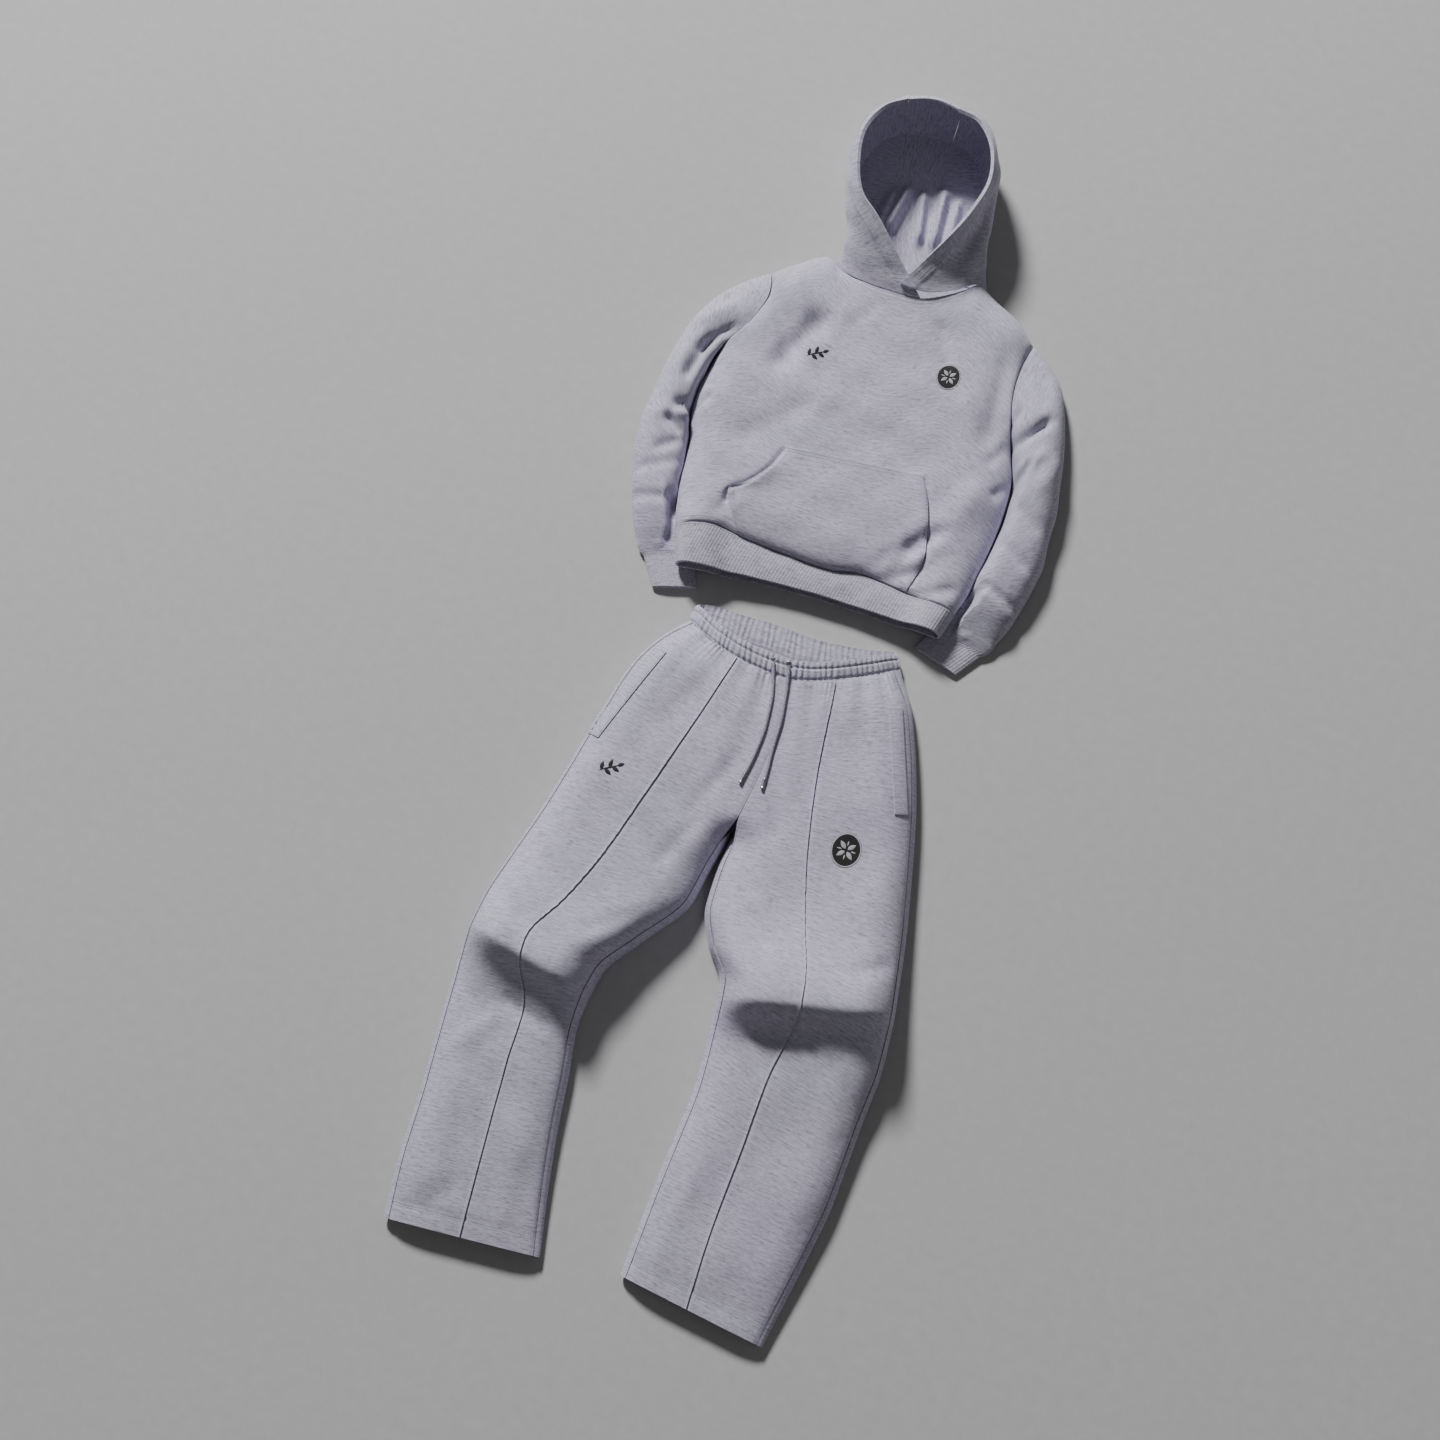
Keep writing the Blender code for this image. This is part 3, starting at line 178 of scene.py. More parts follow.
# The hood's sections from the crown to the neck: its rim, upper wall, bulge, floor and strip seam.
HOOD_RIGHT = {
    "rim": ((-102, 830, 108), (-134, 804, 110), (-153, 756, 112), (-147, 700, 112), (-126, 648, 108),
            (-84, 612, 98), (2, 531, 53)),
    "upper": ((-104, 846, 92), (-142, 816, 92), (-163, 760, 93), (-158, 701, 92), (-143, 648, 88),
              (-112, 592, 76), (-74, 532, 50)),
    "bulge": ((-105, 852, 55), (-146, 822, 55), (-168, 762, 54), (-163, 702, 52), (-151, 650, 48),
              (-138, 604, 40), (-144, 571, 9)),
    "floor": ((-103, 845, 10), (-132, 810, 0), (-150, 758, 0), (-146, 702, 0), (-136, 652, 0),
              (-124, 616, 0), (-104, 584, 0)),
    "seam": ((-101, 838, 0), (-97, 806, 0), (-92, 762, 0), (-86, 716, 0), (-79, 672, 0),
             (-72, 632, 0), (-66, 590, 0)),
}
HOOD_LEFT = {
    "rim": ((-21, 838, 108), (18, 827, 110), (50, 786, 112), (63, 730, 112), (52, 674, 110),
            (28, 620, 97), (-26, 531, 61)),
    "upper": ((-19, 854, 92), (25, 840, 92), (60, 790, 92), (73, 730, 86), (62, 672, 70),
              (46, 612, 60), (24, 534, 48)),
    "bulge": ((-18, 860, 55), (29, 846, 55), (65, 792, 54), (82, 731, 54), (86, 676, 49),
              (90, 632, 40), (99, 594, 9)),
    "floor": ((-20, 853, 10), (16, 834, 0), (50, 782, 0), (64, 726, 0), (70, 676, 0),
              (72, 634, 0), (58, 596, 0)),
    "seam": ((-22, 846, 0), (-19, 812, 0), (-15, 768, 0), (-9, 720, 0), (-2, 674, 0),
             (5, 632, 0), (12, 593, 0)),
}

# The shares of the neckline between which each side of the hood is sewn on, in front and behind.
HOOD_RIGHT_SHARES = ((0.53, 0.245), (0.245, 0.41))
HOOD_LEFT_SHARES = ((0.46, 0.755), (0.755, 0.59))
HOOD_ROWS = 120
HOOD_COLUMNS = 110
NECK_COLUMNS = 80
NECK_GAP = 1.4
CROWN_BULGE = 9.0
HOOD_LAP = 11.0
HOOD_SEAM = 0.2

# The legs, a row for each section down from the waist: both edges and the height of the front.
LEG_RIGHT = {
    "outer_x": (-160, -176, -197, -222, -241, -260, -274, -293, -308, -312, -307, -301, -295, -291, -280),
    "outer_y": (-39, -56, -84, -135, -219, -321, -390, -469, -545, -612, -690, -765, -835, -917, -1010),
    "inner_x": (10, 15, 22, 25, 21, 5, -4, -14, -66, -104, -112, -100, -90, -75, -53),
    "inner_y": (-84, -110, -145, -185, -240, -352, -395, -452, -530, -592, -665, -742, -812, -892, -990),
    "height": (50, 52, 55, 56, 57, 57, 57, 58, 60, 58, 48, 45, 42, 36, 24),
}
LEG_LEFT = {
    "outer_x": (169, 182, 203, 227, 258, 288, 300, 310, 320, 324, 319, 316, 313, 302, 279),
    "outer_y": (-9, -30, -62, -120, -215, -342, -400, -462, -535, -600, -672, -740, -795, -870, -1003),
    "inner_x": (10, 15, 22, 25, 21, 7, 4, 6, 28, 62, 70, 75, 71, 66, 61),
    "inner_y": (-84, -110, -145, -185, -240, -354, -396, -446, -500, -548, -620, -700, -770, -850, -976),
    "height": (50, 52, 55, 56, 57, 57, 57, 58, 60, 60, 50, 45, 42, 36, 24),
}
LEG_ROWS = 220
SIDE_LAP = 9.0
LEG_ROLL = 62.0

# Where a leg's back leaves the floor beside its edges.
BACK_TURN = 10.0
WAIST_GAP = 0.5
TUCK_WIDTH = 3.0
TUCK_CLEAR = 15
TUCK_SIDE_COLUMNS = 56
CROTCH = {"starts": -312, "closed": -360}
WAIST_BLEND = 95.0

# The raised fold over each knee: its middle at both edges of the leg, the rise, and its widths
# on the side towards the hip and on the side towards the foot.
KNEE_RIGHT = {"outer": (-300, -588), "inner": (-108, -628), "rise": 40.0, "hip": 95.0, "foot": 27.0}
KNEE_LEFT = {"outer": (306, -518), "inner": (72, -572), "rise": 42.0, "hip": 95.0, "foot": 32.0}

# The sewn tuck down the middle of each leg.
TUCK_RIGHT = {
    "x": (-68, -94, -134, -168, -192, -217, -216, -195, -189, -179, -168),
    "y": (-80, -181, -336, -457, -520, -574, -612, -665, -752, -880, -1014),
}
TUCK_LEFT = {
    "x": (77, 84, 100, 124, 153, 173, 182, 170, 165, 160, 161),
    "y": (-60, -101, -224, -343, -441, -502, -567, -645, -763, -878, -996),
}

# The waistband's upper and lower edge, once round: up over the front from the wearer's right
# side to the left, then back along the floor.
WAIST_TOP = (
    (-157, -11, 12), (-150, -16, 24), (-120, -35, 42), (-83, -50, 53), (-50, -58, 57), (-16, -61, 58),
    (23, -59, 58), (60, -48, 57), (93, -32, 53), (122, -14, 42), (149, 5, 24), (157, 12, 12),
    (150, 15, 3), (120, 8, 0), (69, 0, 0), (23, -3, 0), (-35, 0, 0), (-91, -2, 0), (-130, -2, 0),
    (-151, -6, 3),
)
WAIST_BOTTOM = (
    (-160, -39, 12), (-153, -44, 24), (-122, -63, 41), (-85, -78, 50), (-50, -86, 53), (-18, -90, 54),
    (17, -90, 54), (58, -78, 53), (93, -62, 50), (128, -42, 41), (160, -18, 24), (169, -9, 12),
    (162, -8, 3), (128, -28, 0), (80, -38, 0), (23, -43, 0), (-35, -41, 0), (-91, -40, 0),
    (-132, -36, 0), (-153, -37, 3),
)
RIGHT_SEAM, LEFT_SEAM, LEFT_SIDE = 1, 10, 11
CENTRE_SEAM_X = 10.0
BAND_WALL = 2.5

# A welt on each hip: its upper and lower ends, and its width.
WELT_RIGHT = {"top": (-182, -106), "bottom": (-235, -263), "width": 22.0}
WELT_LEFT = {"top": (180, -79), "bottom": (237, -233), "width": 22.0}

WELT_WALL = 2.0

# Rows and columns of the panels' grids.
FRONT_ROWS, FRONT_COLUMNS = 180, 180
BACK_ROWS, BACK_COLUMNS = 60, 70
HEM_ROWS, HEM_COLUMNS = 16, 110
SLEEVE_ROWS, SLEEVE_COLUMNS = 120, 72
CUFF_ROWS = 24
POCKET_ROWS, POCKET_COLUMNS = 60, 80
STRIP_COLUMNS = 40
BACK_LEG_COLUMNS_EACH = 4
WAIST_ROWS = 22
POINTS_PER_GATHER = 9
WELT_ROWS, WELT_COLUMNS = 60, 16
RING_TURNS, RING_SIDES = 36, 12
BAND_STITCH_POINTS = 3000

# What only the dressed part has, in millimetres unless said.
RIM_FOLD = 24.0
HEM_TURN = 25.0
HEM_DIP = 1.3
TUCK_LIP = (1.7, 1.7, 1.9)
BAND_STITCHES = (0.06, 0.64)
POUCH_GROOVE = 5.2
GROOVE_WIDTH = 2.9

# Small creases and pleats, listed as FRONT_FOLDS are.
FRONT_CREASES = {
    "x0": (-262, -238, 206, 222, 240, 150, 250, 100, -60, 40, -150, 60, -40, 130),
    "y0": (247, 388, 370, 337, 271, 165, 84, 110, 330, 300, 140, 500, 512, 430),
    "x1": (-248, -228, 218, 200, 222, 92, 226, 60, -100, 90, -185, 90, -75, 160),
    "y1": (268, 410, 400, 300, 250, 40, 50, 30, 260, 250, 60, 440, 450, 330),
    "rise": (-5, -5, -5, -5, -5, -6, -5, -5, 3, -3, -5, -4, -3, 3),
    "width": (8, 9, 9, 12, 9, 14, 10, 12, 20, 18, 12, 14, 14, 20),
}
CREASES_RIGHT_ARM = {
    "x0": (-248, -276, -262, -266, -300, -285, -300, -262, -250, -318, -300, -312, -286),
    "y0": (392, 362, 366, 244, 214, 432, 159, 150, 90, 210, 385, 330, 222),
    "x1": (-288, -294, -248, -292, -272, -262, -261, -320, -318, -280, -262, -296, -270),
    "y1": (340, 286, 374, 238, 196, 470, 189, 120, 75, 240, 428, 268, 228),
    "rise": (-14, -13, 5, -14, -9, -4, -5, -4, -5, 3, 6, 5, 5),
    "width": (9, 10, 7, 10, 8, 10, 9, 10, 9, 12, 12, 11, 8),
}
CREASES_LEFT_ARM = {
    "x0": (212, 224, 244, 262, 250, 240, 300, 255, 246),
    "y0": (368, 337, 271, 240, 180, 110, 330, 420, 300),
    "x1": (221, 269, 259, 300, 300, 305, 285, 240, 275),
    "y1": (398, 391, 317, 215, 150, 85, 280, 470, 335),
    "rise": (-11, -15, -10, -5, -5, -5, 4, -4, 6),
    "width": (6, 8, 6, 11, 10, 9, 14, 12, 10),
}
HOOD_PLEATS = {
    "x0": (-62, -36, -4, -84, 22),
    "y0": (736, 733, 749, 724, 739),
    "x1": (-73, -20, 5, -92, 28),
    "y1": (656, 650, 650, 648, 656),
    "rise": (17, 15, 17, 13, 13),
    "width": (9, 8, 9, 8, 8),
}
RIGHT_LEG_FOLDS = {
    "x0": (-60, -20, -110, -250, -40, -285, -90, -150, -225, -255, -200, -130),
    "y0": (-150, -230, -140, -300, -330, -520, -500, -690, -700, -830, -940, -860),
    "x1": (-40, -60, -150, -200, -75, -230, -140, -220, -270, -225, -240, -120),
    "y1": (-280, -330, -220, -400, -410, -560, -545, -672, -760, -930, -985, -960),
    "rise": (2, -3, -2, 2, -4, -4, -3, -4, 3, 2, -2, 2),
    "width": (22, 14, 18, 26, 14, 12, 12, 12, 16, 22, 16, 18),
}
LEFT_LEG_FOLDS = {
    "x0": (60, 40, 130, 260, 30, 290, 60, 130, 250, 280, 210, 110),
    "y0": (-150, -230, -140, -300, -340, -450, -440, -610, -640, -800, -930, -820),
    "x1": (50, 70, 170, 230, 60, 240, 110, 220, 290, 260, 260, 100),
    "y1": (-280, -330, -220, -400, -420, -480, -480, -600, -700, -900, -980, -930),
    "rise": (2, -3, -2, 2, -4, -4, -3, -4, 3, 2, -2, 2),
    "width": (22, 14, 18, 26, 14, 12, 12, 12, 16, 22, 16, 18),
}

CHEST_MARK = np.array([-110.0, 389.0])
CHEST_BADGE = np.array([98.0, 416.0])
THIGH_MARK = np.array([-190.0, -304.0])
THIGH_BADGE = np.array([176.0, -311.0])

FLEECE_LIGHT = (0.64, 0.605, 0.75)
FLEECE_DARK = (0.27, 0.26, 0.30)
RIB_LIGHT = (0.62, 0.59, 0.71)
THREAD = (0.52, 0.52, 0.57)
DARK_THREAD = (0.018, 0.018, 0.02)
PALE_THREAD = (0.55, 0.55, 0.58)
SHEEN_TINT = (0.93, 0.93, 1.0)

# The cords' routes, in metres, where the plain cords lie.
CORD_RIGHT_ROUTE = (
    (-0.0068, -0.0235, 0.0589), (-0.0035, -0.0350, 0.0582), (-0.0001, -0.0463, 0.0574),
    (0.0033, -0.0578, 0.0579), (0.0061, -0.0693, 0.0584), (0.0085, -0.0810, 0.0590),
    (0.0100, -0.0928, 0.0591), (0.0112, -0.1047, 0.0591), (0.0124, -0.1165, 0.0591),
    (0.0132, -0.1284, 0.0592), (0.0130, -0.1403, 0.0594), (0.0123, -0.1522, 0.0597),
    (0.0116, -0.1641, 0.0599), (0.0106, -0.1759, 0.0599), (0.0091, -0.1877, 0.0600),
    (0.0072, -0.1995, 0.0600),
)
CORD_LEFT_ROUTE = (
    (0.0162, -0.0225, 0.0598), (0.0193, -0.0339, 0.0585), (0.0220, -0.0453, 0.0579),
    (0.0245, -0.0569, 0.0576), (0.0265, -0.0685, 0.0581), (0.0283, -0.0801, 0.0587),
    (0.0302, -0.0918, 0.0590), (0.0318, -0.1034, 0.0591), (0.0327, -0.1152, 0.0591),
    (0.0330, -0.1269, 0.0592), (0.0334, -0.1387, 0.0593), (0.0338, -0.1505, 0.0596),
    (0.0345, -0.1623, 0.0599), (0.0356, -0.1740, 0.0599), (0.0365, -0.1857, 0.0600),
    (0.0372, -0.1975, 0.0600),
)

# Rows of stitches on the hoodie: the panel, its edge, how far in from it, and the shares of the edge
# between which the row runs.
HOODIE_ROWS = (
    ("hoodie_front", "first", 3.0, 0.01, 0.99),
    ("hoodie_front", "last", 3.0, 0.27, 0.73),
    ("kangaroo_pocket", "left", 3.0, 0.14, 0.97),
    ("kangaroo_pocket", "right", 3.0, 0.14, 0.97),
    ("hoodie_front", "first", 9.0, 0.01, 0.99),
    ("hoodie_front", "last", 9.0, 0.27, 0.73),
    ("kangaroo_pocket", "left", 9.0, 0.14, 0.97),
    ("kangaroo_pocket", "right", 9.0, 0.14, 0.97),
    ("hoodie_front", "last", 3.0, 0.02, 0.22),
    ("hoodie_front", "last", 3.0, 0.78, 0.98),
    ("hoodie_front", "left", 3.5, 0.58, 0.99),
    ("hoodie_front", "right", 3.5, 0.64, 0.99),
    ("kangaroo_pocket", "last", 3.0, 0.02, 0.98),
    ("kangaroo_pocket", "last", 8.0, 0.03, 0.97),
)

# Each light's name, place, size and power, in metres and watts.
LIGHTS = (("key", (-5.1, 6.3, 5.6), 1.8, 1350.0), ("fill", (2.2, -0.8, 3.0), 2.6, 5.0))
FLOOR_SIZE = 60.0

CAMERA_AT = (0.1687, -0.7878, 2.635)
CAMERA_AIM = (-0.0588, -0.1195, 0.0)
CAMERA_UP = (-0.3223, 0.9466)


def cubic(start, end, leaving, arriving, t):
    """A cubic from one value to the next by the slopes at both, at shares of the way."""
    return (
        start * (1 + 2 * t) * (1 - t) ** 2
        + leaving * t * (1 - t) ** 2
        + end * t * t * (3 - 2 * t)
        - arriving * t * t * (1 - t)
    )


def smooth(places, values, at):
    """A monotone cubic through the values, read at the places asked for."""
    x = np.asarray(places, float)
    y = np.asarray(values, float)
    steps = np.diff(x)
    slopes = np.diff(y) / steps
    tangents = np.zeros(len(x))
    tangents[0], tangents[-1] = slopes[0], slopes[-1]
    turning = slopes[:-1] * slopes[1:] > 0
    before = 2 * steps[1:] + steps[:-1]
    after = steps[1:] + 2 * steps[:-1]
    with np.errstate(divide="ignore", invalid="ignore"):
        mean = (before + after) / (before / slopes[:-1] + after / slopes[1:])
    tangents[1:-1] = np.where(turning, mean, 0.0)
    at = np.clip(np.asarray(at, float), x[0], x[-1])
    k = np.clip(np.searchsorted(x, at, side="right") - 1, 0, len(x) - 2)
    h = steps[k]
    return cubic(y[k], y[k + 1], tangents[k] * h, tangents[k + 1] * h, (at - x[k]) / h)


def run_along(points):
    """How far along a line each of its points lies."""
    return np.concatenate([[0], np.cumsum(np.linalg.norm(np.diff(points, axis=0), axis=1))])


def through(points, at):
    """A smooth curve through points, read at shares of its length from 0 to 1."""
    points = np.asarray(points, float)
    run = run_along(points)
    tangents = np.gradient(points, run, axis=0)
    at = np.asarray(at, float) * run[-1]
    k = np.clip(np.searchsorted(run, at, side="right") - 1, 0, len(run) - 2)
    h = (run[k + 1] - run[k])[:, None]
    t = (at - run[k])[:, None] / h
    return cubic(points[k], points[k + 1], tangents[k] * h, tangents[k + 1] * h, t)


def line(table, at, names=("x", "y")):
    return through(np.column_stack([table[name] for name in names]), at)


def eased(count, ends=0.6):
    """Shares from 0 to 1, closer together towards both ends."""
    t = np.linspace(0, 1, count)
    return (1 - ends) * t + ends * (1 - np.cos(np.pi * t)) / 2


def roll(distance, reach):
    """How far a filled cloth has risen at a distance from its seam, from 0 to 1."""
    left = 1 - np.clip(distance / reach, 0, 1)
    return np.sqrt(np.clip(1 - left * left, 0, 1))


def softest(*shares):
    """The least of some shares of 1, with soft meeting lines."""
    total = sum(np.maximum(share, 0.01) ** -8.0 for share in shares) - (len(shares) - 1)
    return np.maximum(total, 1e-9) ** -0.125


def folds(x, y, table):
    """The sum of soft ridges and troughs, each along a straight line."""
    total = np.zeros_like(x)
    rows = zip(*(table[name] for name in ("x0", "y0", "x1", "y1", "rise", "width")))
    for x0, y0, x1, y1, rise, width in rows:
        run = np.hypot(x1 - x0, y1 - y0)
        ux, uy = (x1 - x0) / run, (y1 - y0) / run
        along = (x - x0) * ux + (y - y0) * uy
        beyond = along - np.clip(along, 0.15 * run, 0.85 * run)
        aside = (y - y0) * ux - (x - x0) * uy
        total += rise * np.exp(-((aside / width) ** 2) - (beyond / (0.6 * width + 0.15 * run)) ** 2)
    return total


def bump(away, width):
    """1 at no distance, falling softly to nothing over about twice the width."""
    return np.exp(-((away / width) ** 2))


def off_edge(grid, edge, width):
    """0 at one edge of a grid, rising softly to 1 away from it."""
    return 1 - bump(edge_run(grid, edge), width)


def keep_above_floor(grid):
    grid[..., 2] = np.maximum(grid[..., 2], 0)


def normals_of(grid, ring):
    if ring:
        across = np.roll(grid, -1, axis=1) - np.roll(grid, 1, axis=1)
    else:
        across = np.gradient(grid, axis=1)
    along = np.gradient(grid, axis=0)
    normal = np.cross(across, along)
    return normal / np.maximum(np.linalg.norm(normal, axis=2, keepdims=True), 1e-9)


def unit(vectors):
    return vectors / np.maximum(np.linalg.norm(vectors, axis=-1, keepdims=True), 1e-9)


def beside(curve):
    """Level directions at right angles to a seam's run in plan."""
    run = np.gradient(curve, axis=0)
    return unit(np.column_stack([-run[:, 1], run[:, 0], np.zeros(len(run))]))


def moved_in(outer, thickness, ring, cuts):
    """The inner points of a wall. A cut gives a rim the direction that it faces."""
    inward = -normals_of(outer, ring)
    every = slice(None)
    edges = {"first": (0, every), "last": (-1, every), "left": (every, 0), "right": (every, -1)}
    for edge, facing in cuts.items():
        place = edges[edge]
        facing = np.broadcast_to(np.asarray(facing, float), inward[place].shape)
        share = (inward[place] * facing).sum(axis=1, keepdims=True)
        inward[place] = unit(inward[place] - share * facing)
    return outer + inward * thickness


def hem_lift(x, y):
    """How far the body's two lower corners are held up by the cuffs under them."""
    lifts = []
    for outward, start in ((-x, 45), (x, 40)):
        inside = np.clip(HEM_CORNER - outward, 0, None) / HEM_CORNER_SIZE
        above = np.clip(y - start, 0, None) / HEM_CORNER_SIZE
        lifts.append(np.exp(-(inside**4) - above**2))
    return HEM_LIFT * np.maximum(*lifts)


def body_plan(u, v, top):
    """The plan of a body panel between its four edges, u across and v from the hem up."""
    bottom = line(HEM_SEAM, u)
    upper = line(top, u)
    left = line(BODY_RIGHT, v)
    right = line(BODY_LEFT, v)
    uu, vv = u[None, :, None], v[:, None, None]
    across = left[:, None] * (1 - uu) + right[:, None] * uu
    along = bottom[None] * (1 - vv) + upper[None] * vv
    corners = (
        bottom[0] * (1 - uu) * (1 - vv)
        + bottom[-1] * uu * (1 - vv)
        + upper[0] * (1 - uu) * vv
        + upper[-1] * uu * vv
    )
    return across + along - corners


def front_height(plan, u, v):
    uu, vv = np.meshgrid(u, v)
    side = smooth(SIDE_SHARE["v"], SIDE_SHARE["share"], vv)
    top = smooth(TOP_SHARE["u"], TOP_SHARE["share"], uu)
    hem = smooth(HEM_SHARE["u"], HEM_SHARE["share"], uu)
    from_side = np.minimum(uu, 1 - uu) * BODY_WIDTH
    factor = softest(
        side + (1 - side) * roll(from_side, BODY_SIDE_ROLL),
        top + (1 - top) * roll((1 - vv) * BODY_LENGTH, BODY_TOP_ROLL),
        hem + (1 - hem) * roll(vv * BODY_LENGTH, BODY_HEM_ROLL),
    )
    x, y = plan[..., 0], plan[..., 1]
    inside = roll(from_side, 60) * roll(vv * BODY_LENGTH, 60) * roll((1 - vv) * BODY_LENGTH, 40)
    filled = np.maximum(CHEST_HEIGHT * factor, SIDE_SEAM_HEIGHT)
    return filled + hem_lift(x, y) + folds(x, y, FRONT_FOLDS) * inside


def body_front_grid(u, v):
    plan = body_plan(u, v, NECKLINE)
    return np.dstack([plan, front_height(plan, u, v)])


def body_back_grid(u, v):
    """The back lies on the floor, and its sides curl up to meet the front's."""
    plan = body_plan(u, v, BACK_NECKLINE)
    uu, vv = np.meshgrid(u, v)
    from_side = np.minimum(uu, 1 - uu) * BODY_WIDTH
    curl = SIDE_SEAM_HEIGHT - SEAM_GAP
    below_arm = 1 - np.clip((vv - BELOW_RIGHT_ARM) / 0.04, 0, 1)
    on_shoulder = np.clip((0.26 - np.minimum(uu, 1 - uu)) / 0.08, 0, 1)
    side = (1 - roll(from_side, BACK_CURL_ROLL)) * below_arm
    shoulder = (1 - roll((1 - vv) * BODY_LENGTH, BACK_CURL_ROLL)) * on_shoulder
    lift = hem_lift(plan[..., 0], plan[..., 1])
    return np.dstack([plan, curl * np.maximum(side, shoulder) + lift])


def seam_facing(curve, level):
    """The way a panel's edge faces: upright where it meets a level seam, else sideways."""
    facing = beside(curve)
    facing[level] = (0, 0, 1)
    return facing


def section(inner, outer, height, count, steep=TOP_POWER):
    """A filled tube's section over the floor, from its inner edge over the top and back under."""
    angle = np.linspace(0, 2 * np.pi, count, endpoint=False)
    across = (1 - np.cos(angle)) / 2
    side = np.abs(1 - 2 * across)
    edge = min(SIDE_SEAM_HEIGHT, 0.45 * height)
    power = np.where(across < 0.5, steep, TOP_POWER)
    top = edge + (height - edge) * (1 - side**power) ** 0.5
    under = edge - edge * (1 - side**UNDER_POWER) ** 0.5
    z = np.where(angle <= np.pi, top, under)
    plan = inner + (outer - inner) * across[:, None]
    return np.column_stack([plan, z]), across


def share_at(table, key, value):
    """The share of a side curve's length at which it reaches a place."""
    at = np.linspace(0, 1, 400)
    return float(np.interp(value, line(table, at)[:, 1 if key == "y" else 0], at))


def under_body(points, sign, edge_table):
    """Keeps what the body's corner lies on below it."""
    at = np.linspace(0, 0.6, 200)
    edge = line(edge_table, at)
    limit = np.interp(points[..., 1], edge[:, 1], edge[:, 0])
    outside = sign * (points[..., 0] - limit)
    ceiling = hem_lift(points[..., 0], points[..., 1]) - 1.0 + 3.0 * np.clip(outside - 8, 0, None)
    under = 1 / (1 + np.exp((points[..., 1] - UNDER_HEM_Y) / 5.0))
    spare = np.maximum(points[..., 2] - np.maximum(ceiling, 0.5), 0)
    points[..., 2] -= under * spare
    return points


def sleeve_grid(table, body_side, underarm_y, sign, stations, around):
    """The sleeve's rings, from the armhole down to the cuff."""
    rows = np.arange(len(table["height"]))
    at = np.linspace(0, len(rows) - 1, stations)
    columns = {key: smooth(rows, values, at) for key, values in table.items()}
    share = share_at(body_side, "y", underarm_y)
    grid = []
    for k in range(stations):
        inner = np.array([columns["inner_x"][k], columns["inner_y"][k]])
        outer = np.array([columns["outer_x"][k], columns["outer_y"][k]])
        ring, across = section(inner, outer, columns["height"][k], around, SLEEVE_STEEP)
        seam = line(body_side, share + (1 - share) * across)
        seam[:, 0] += sign * ARMHOLE_GAP
        chord = seam[0] + (seam[len(seam) // 2] - seam[0]) * across[:, None]
        follow = max(0.0, 1 - at[k] / 2.5)
        ring[:, :2] = seam if k == 0 else ring[:, :2] + (seam - chord) * follow
        grid.append(ring)
    return under_body(np.array(grid), sign, body_side)


def cuff_grid(ends, sleeve_end, towards, body_side, sign, around):
    """The cuff's rings, from the sleeve's end to the cuff's own edge."""
    grid = []
    inner_ends, outer_ends = np.array(ends["inner"], float), np.array(ends["outer"], float)
    for share in (0.0, 0.5, 1.0):
        inner = inner_ends[0] * (1 - share) + inner_ends[1] * share
        outer = outer_ends[0] * (1 - share) + outer_ends[1] * share
        height = ARM_END_HEIGHT * (1 - share) + CUFF_HEIGHT * share
        grid.append(section(inner, outer, height, around)[0])
    grid = under_body(np.array(grid), sign, body_side)
    grid[0] = sleeve_end + towards * CUFF_GAP
    return grid


def off_arm(inner, outer, turn):
    """The level direction, away from the shoulder, at right angles to a cut across the arm."""
    run = unit(np.subtract(outer, inner).astype(float)) * turn
    return np.array([-run[1], run[0], 0.0])


def side_of(table, side):
    return np.column_stack([table[side + "_x"], table[side + "_y"]])


def skin(table, names, rows, columns):
    """A smooth surface through a table of sections, each a row of points across it."""
    control = np.array([table[name] for name in names], float).transpose(1, 0, 2)
    return steady(steady(control, rows).transpose(1, 0, 2), columns).transpose(1, 0, 2)


def steady(values, count):
    """Even values at more places, by a cubic through them."""
    last = len(values) - 1
    at = np.linspace(0, last, count)
    tangents = np.gradient(values, axis=0)
    k = np.clip(at.astype(int), 0, last - 1)
    t = (at - k).reshape(-1, *[1] * (values.ndim - 1))
    return cubic(values[k], values[k + 1], tangents[k], tangents[k + 1], t)


def neck_row(columns, front_shares, back_shares):
    """The hood's lower edge: along the front's neckline, then back along the back's."""
    u = eased(NECK_COLUMNS, 0.75)
    top_rows = np.array([0.98, 1])
    front_plan = body_plan(u, top_rows, NECKLINE)
    height = front_height(front_plan, u, top_rows)[1]
    front = np.column_stack([front_plan[1], height])
    at = np.linspace(0, 1, columns)
    shares = np.where(
        at <= 0.5,
        front_shares[0] + (front_shares[1] - front_shares[0]) * at * 2,
        back_shares[0] + (back_shares[1] - back_shares[0]) * (at * 2 - 1),
    )
    on_front = np.column_stack([np.interp(shares, u, front[:, k]) for k in range(3)])
    back = body_plan(u, top_rows, BACK_NECKLINE)[1]
    on_back = np.column_stack([*(np.interp(shares, u, back[:, k]) for k in range(2)), 0 * at])
    fall = np.clip((at - 0.5) / 0.15, 0, 1)
    on_back[:, 2] = SIDE_SEAM_HEIGHT * (1 - fall)
    row = np.where((at <= 0.5)[:, None], on_front, on_back)
    row[:, 1] += NECK_GAP
    return row


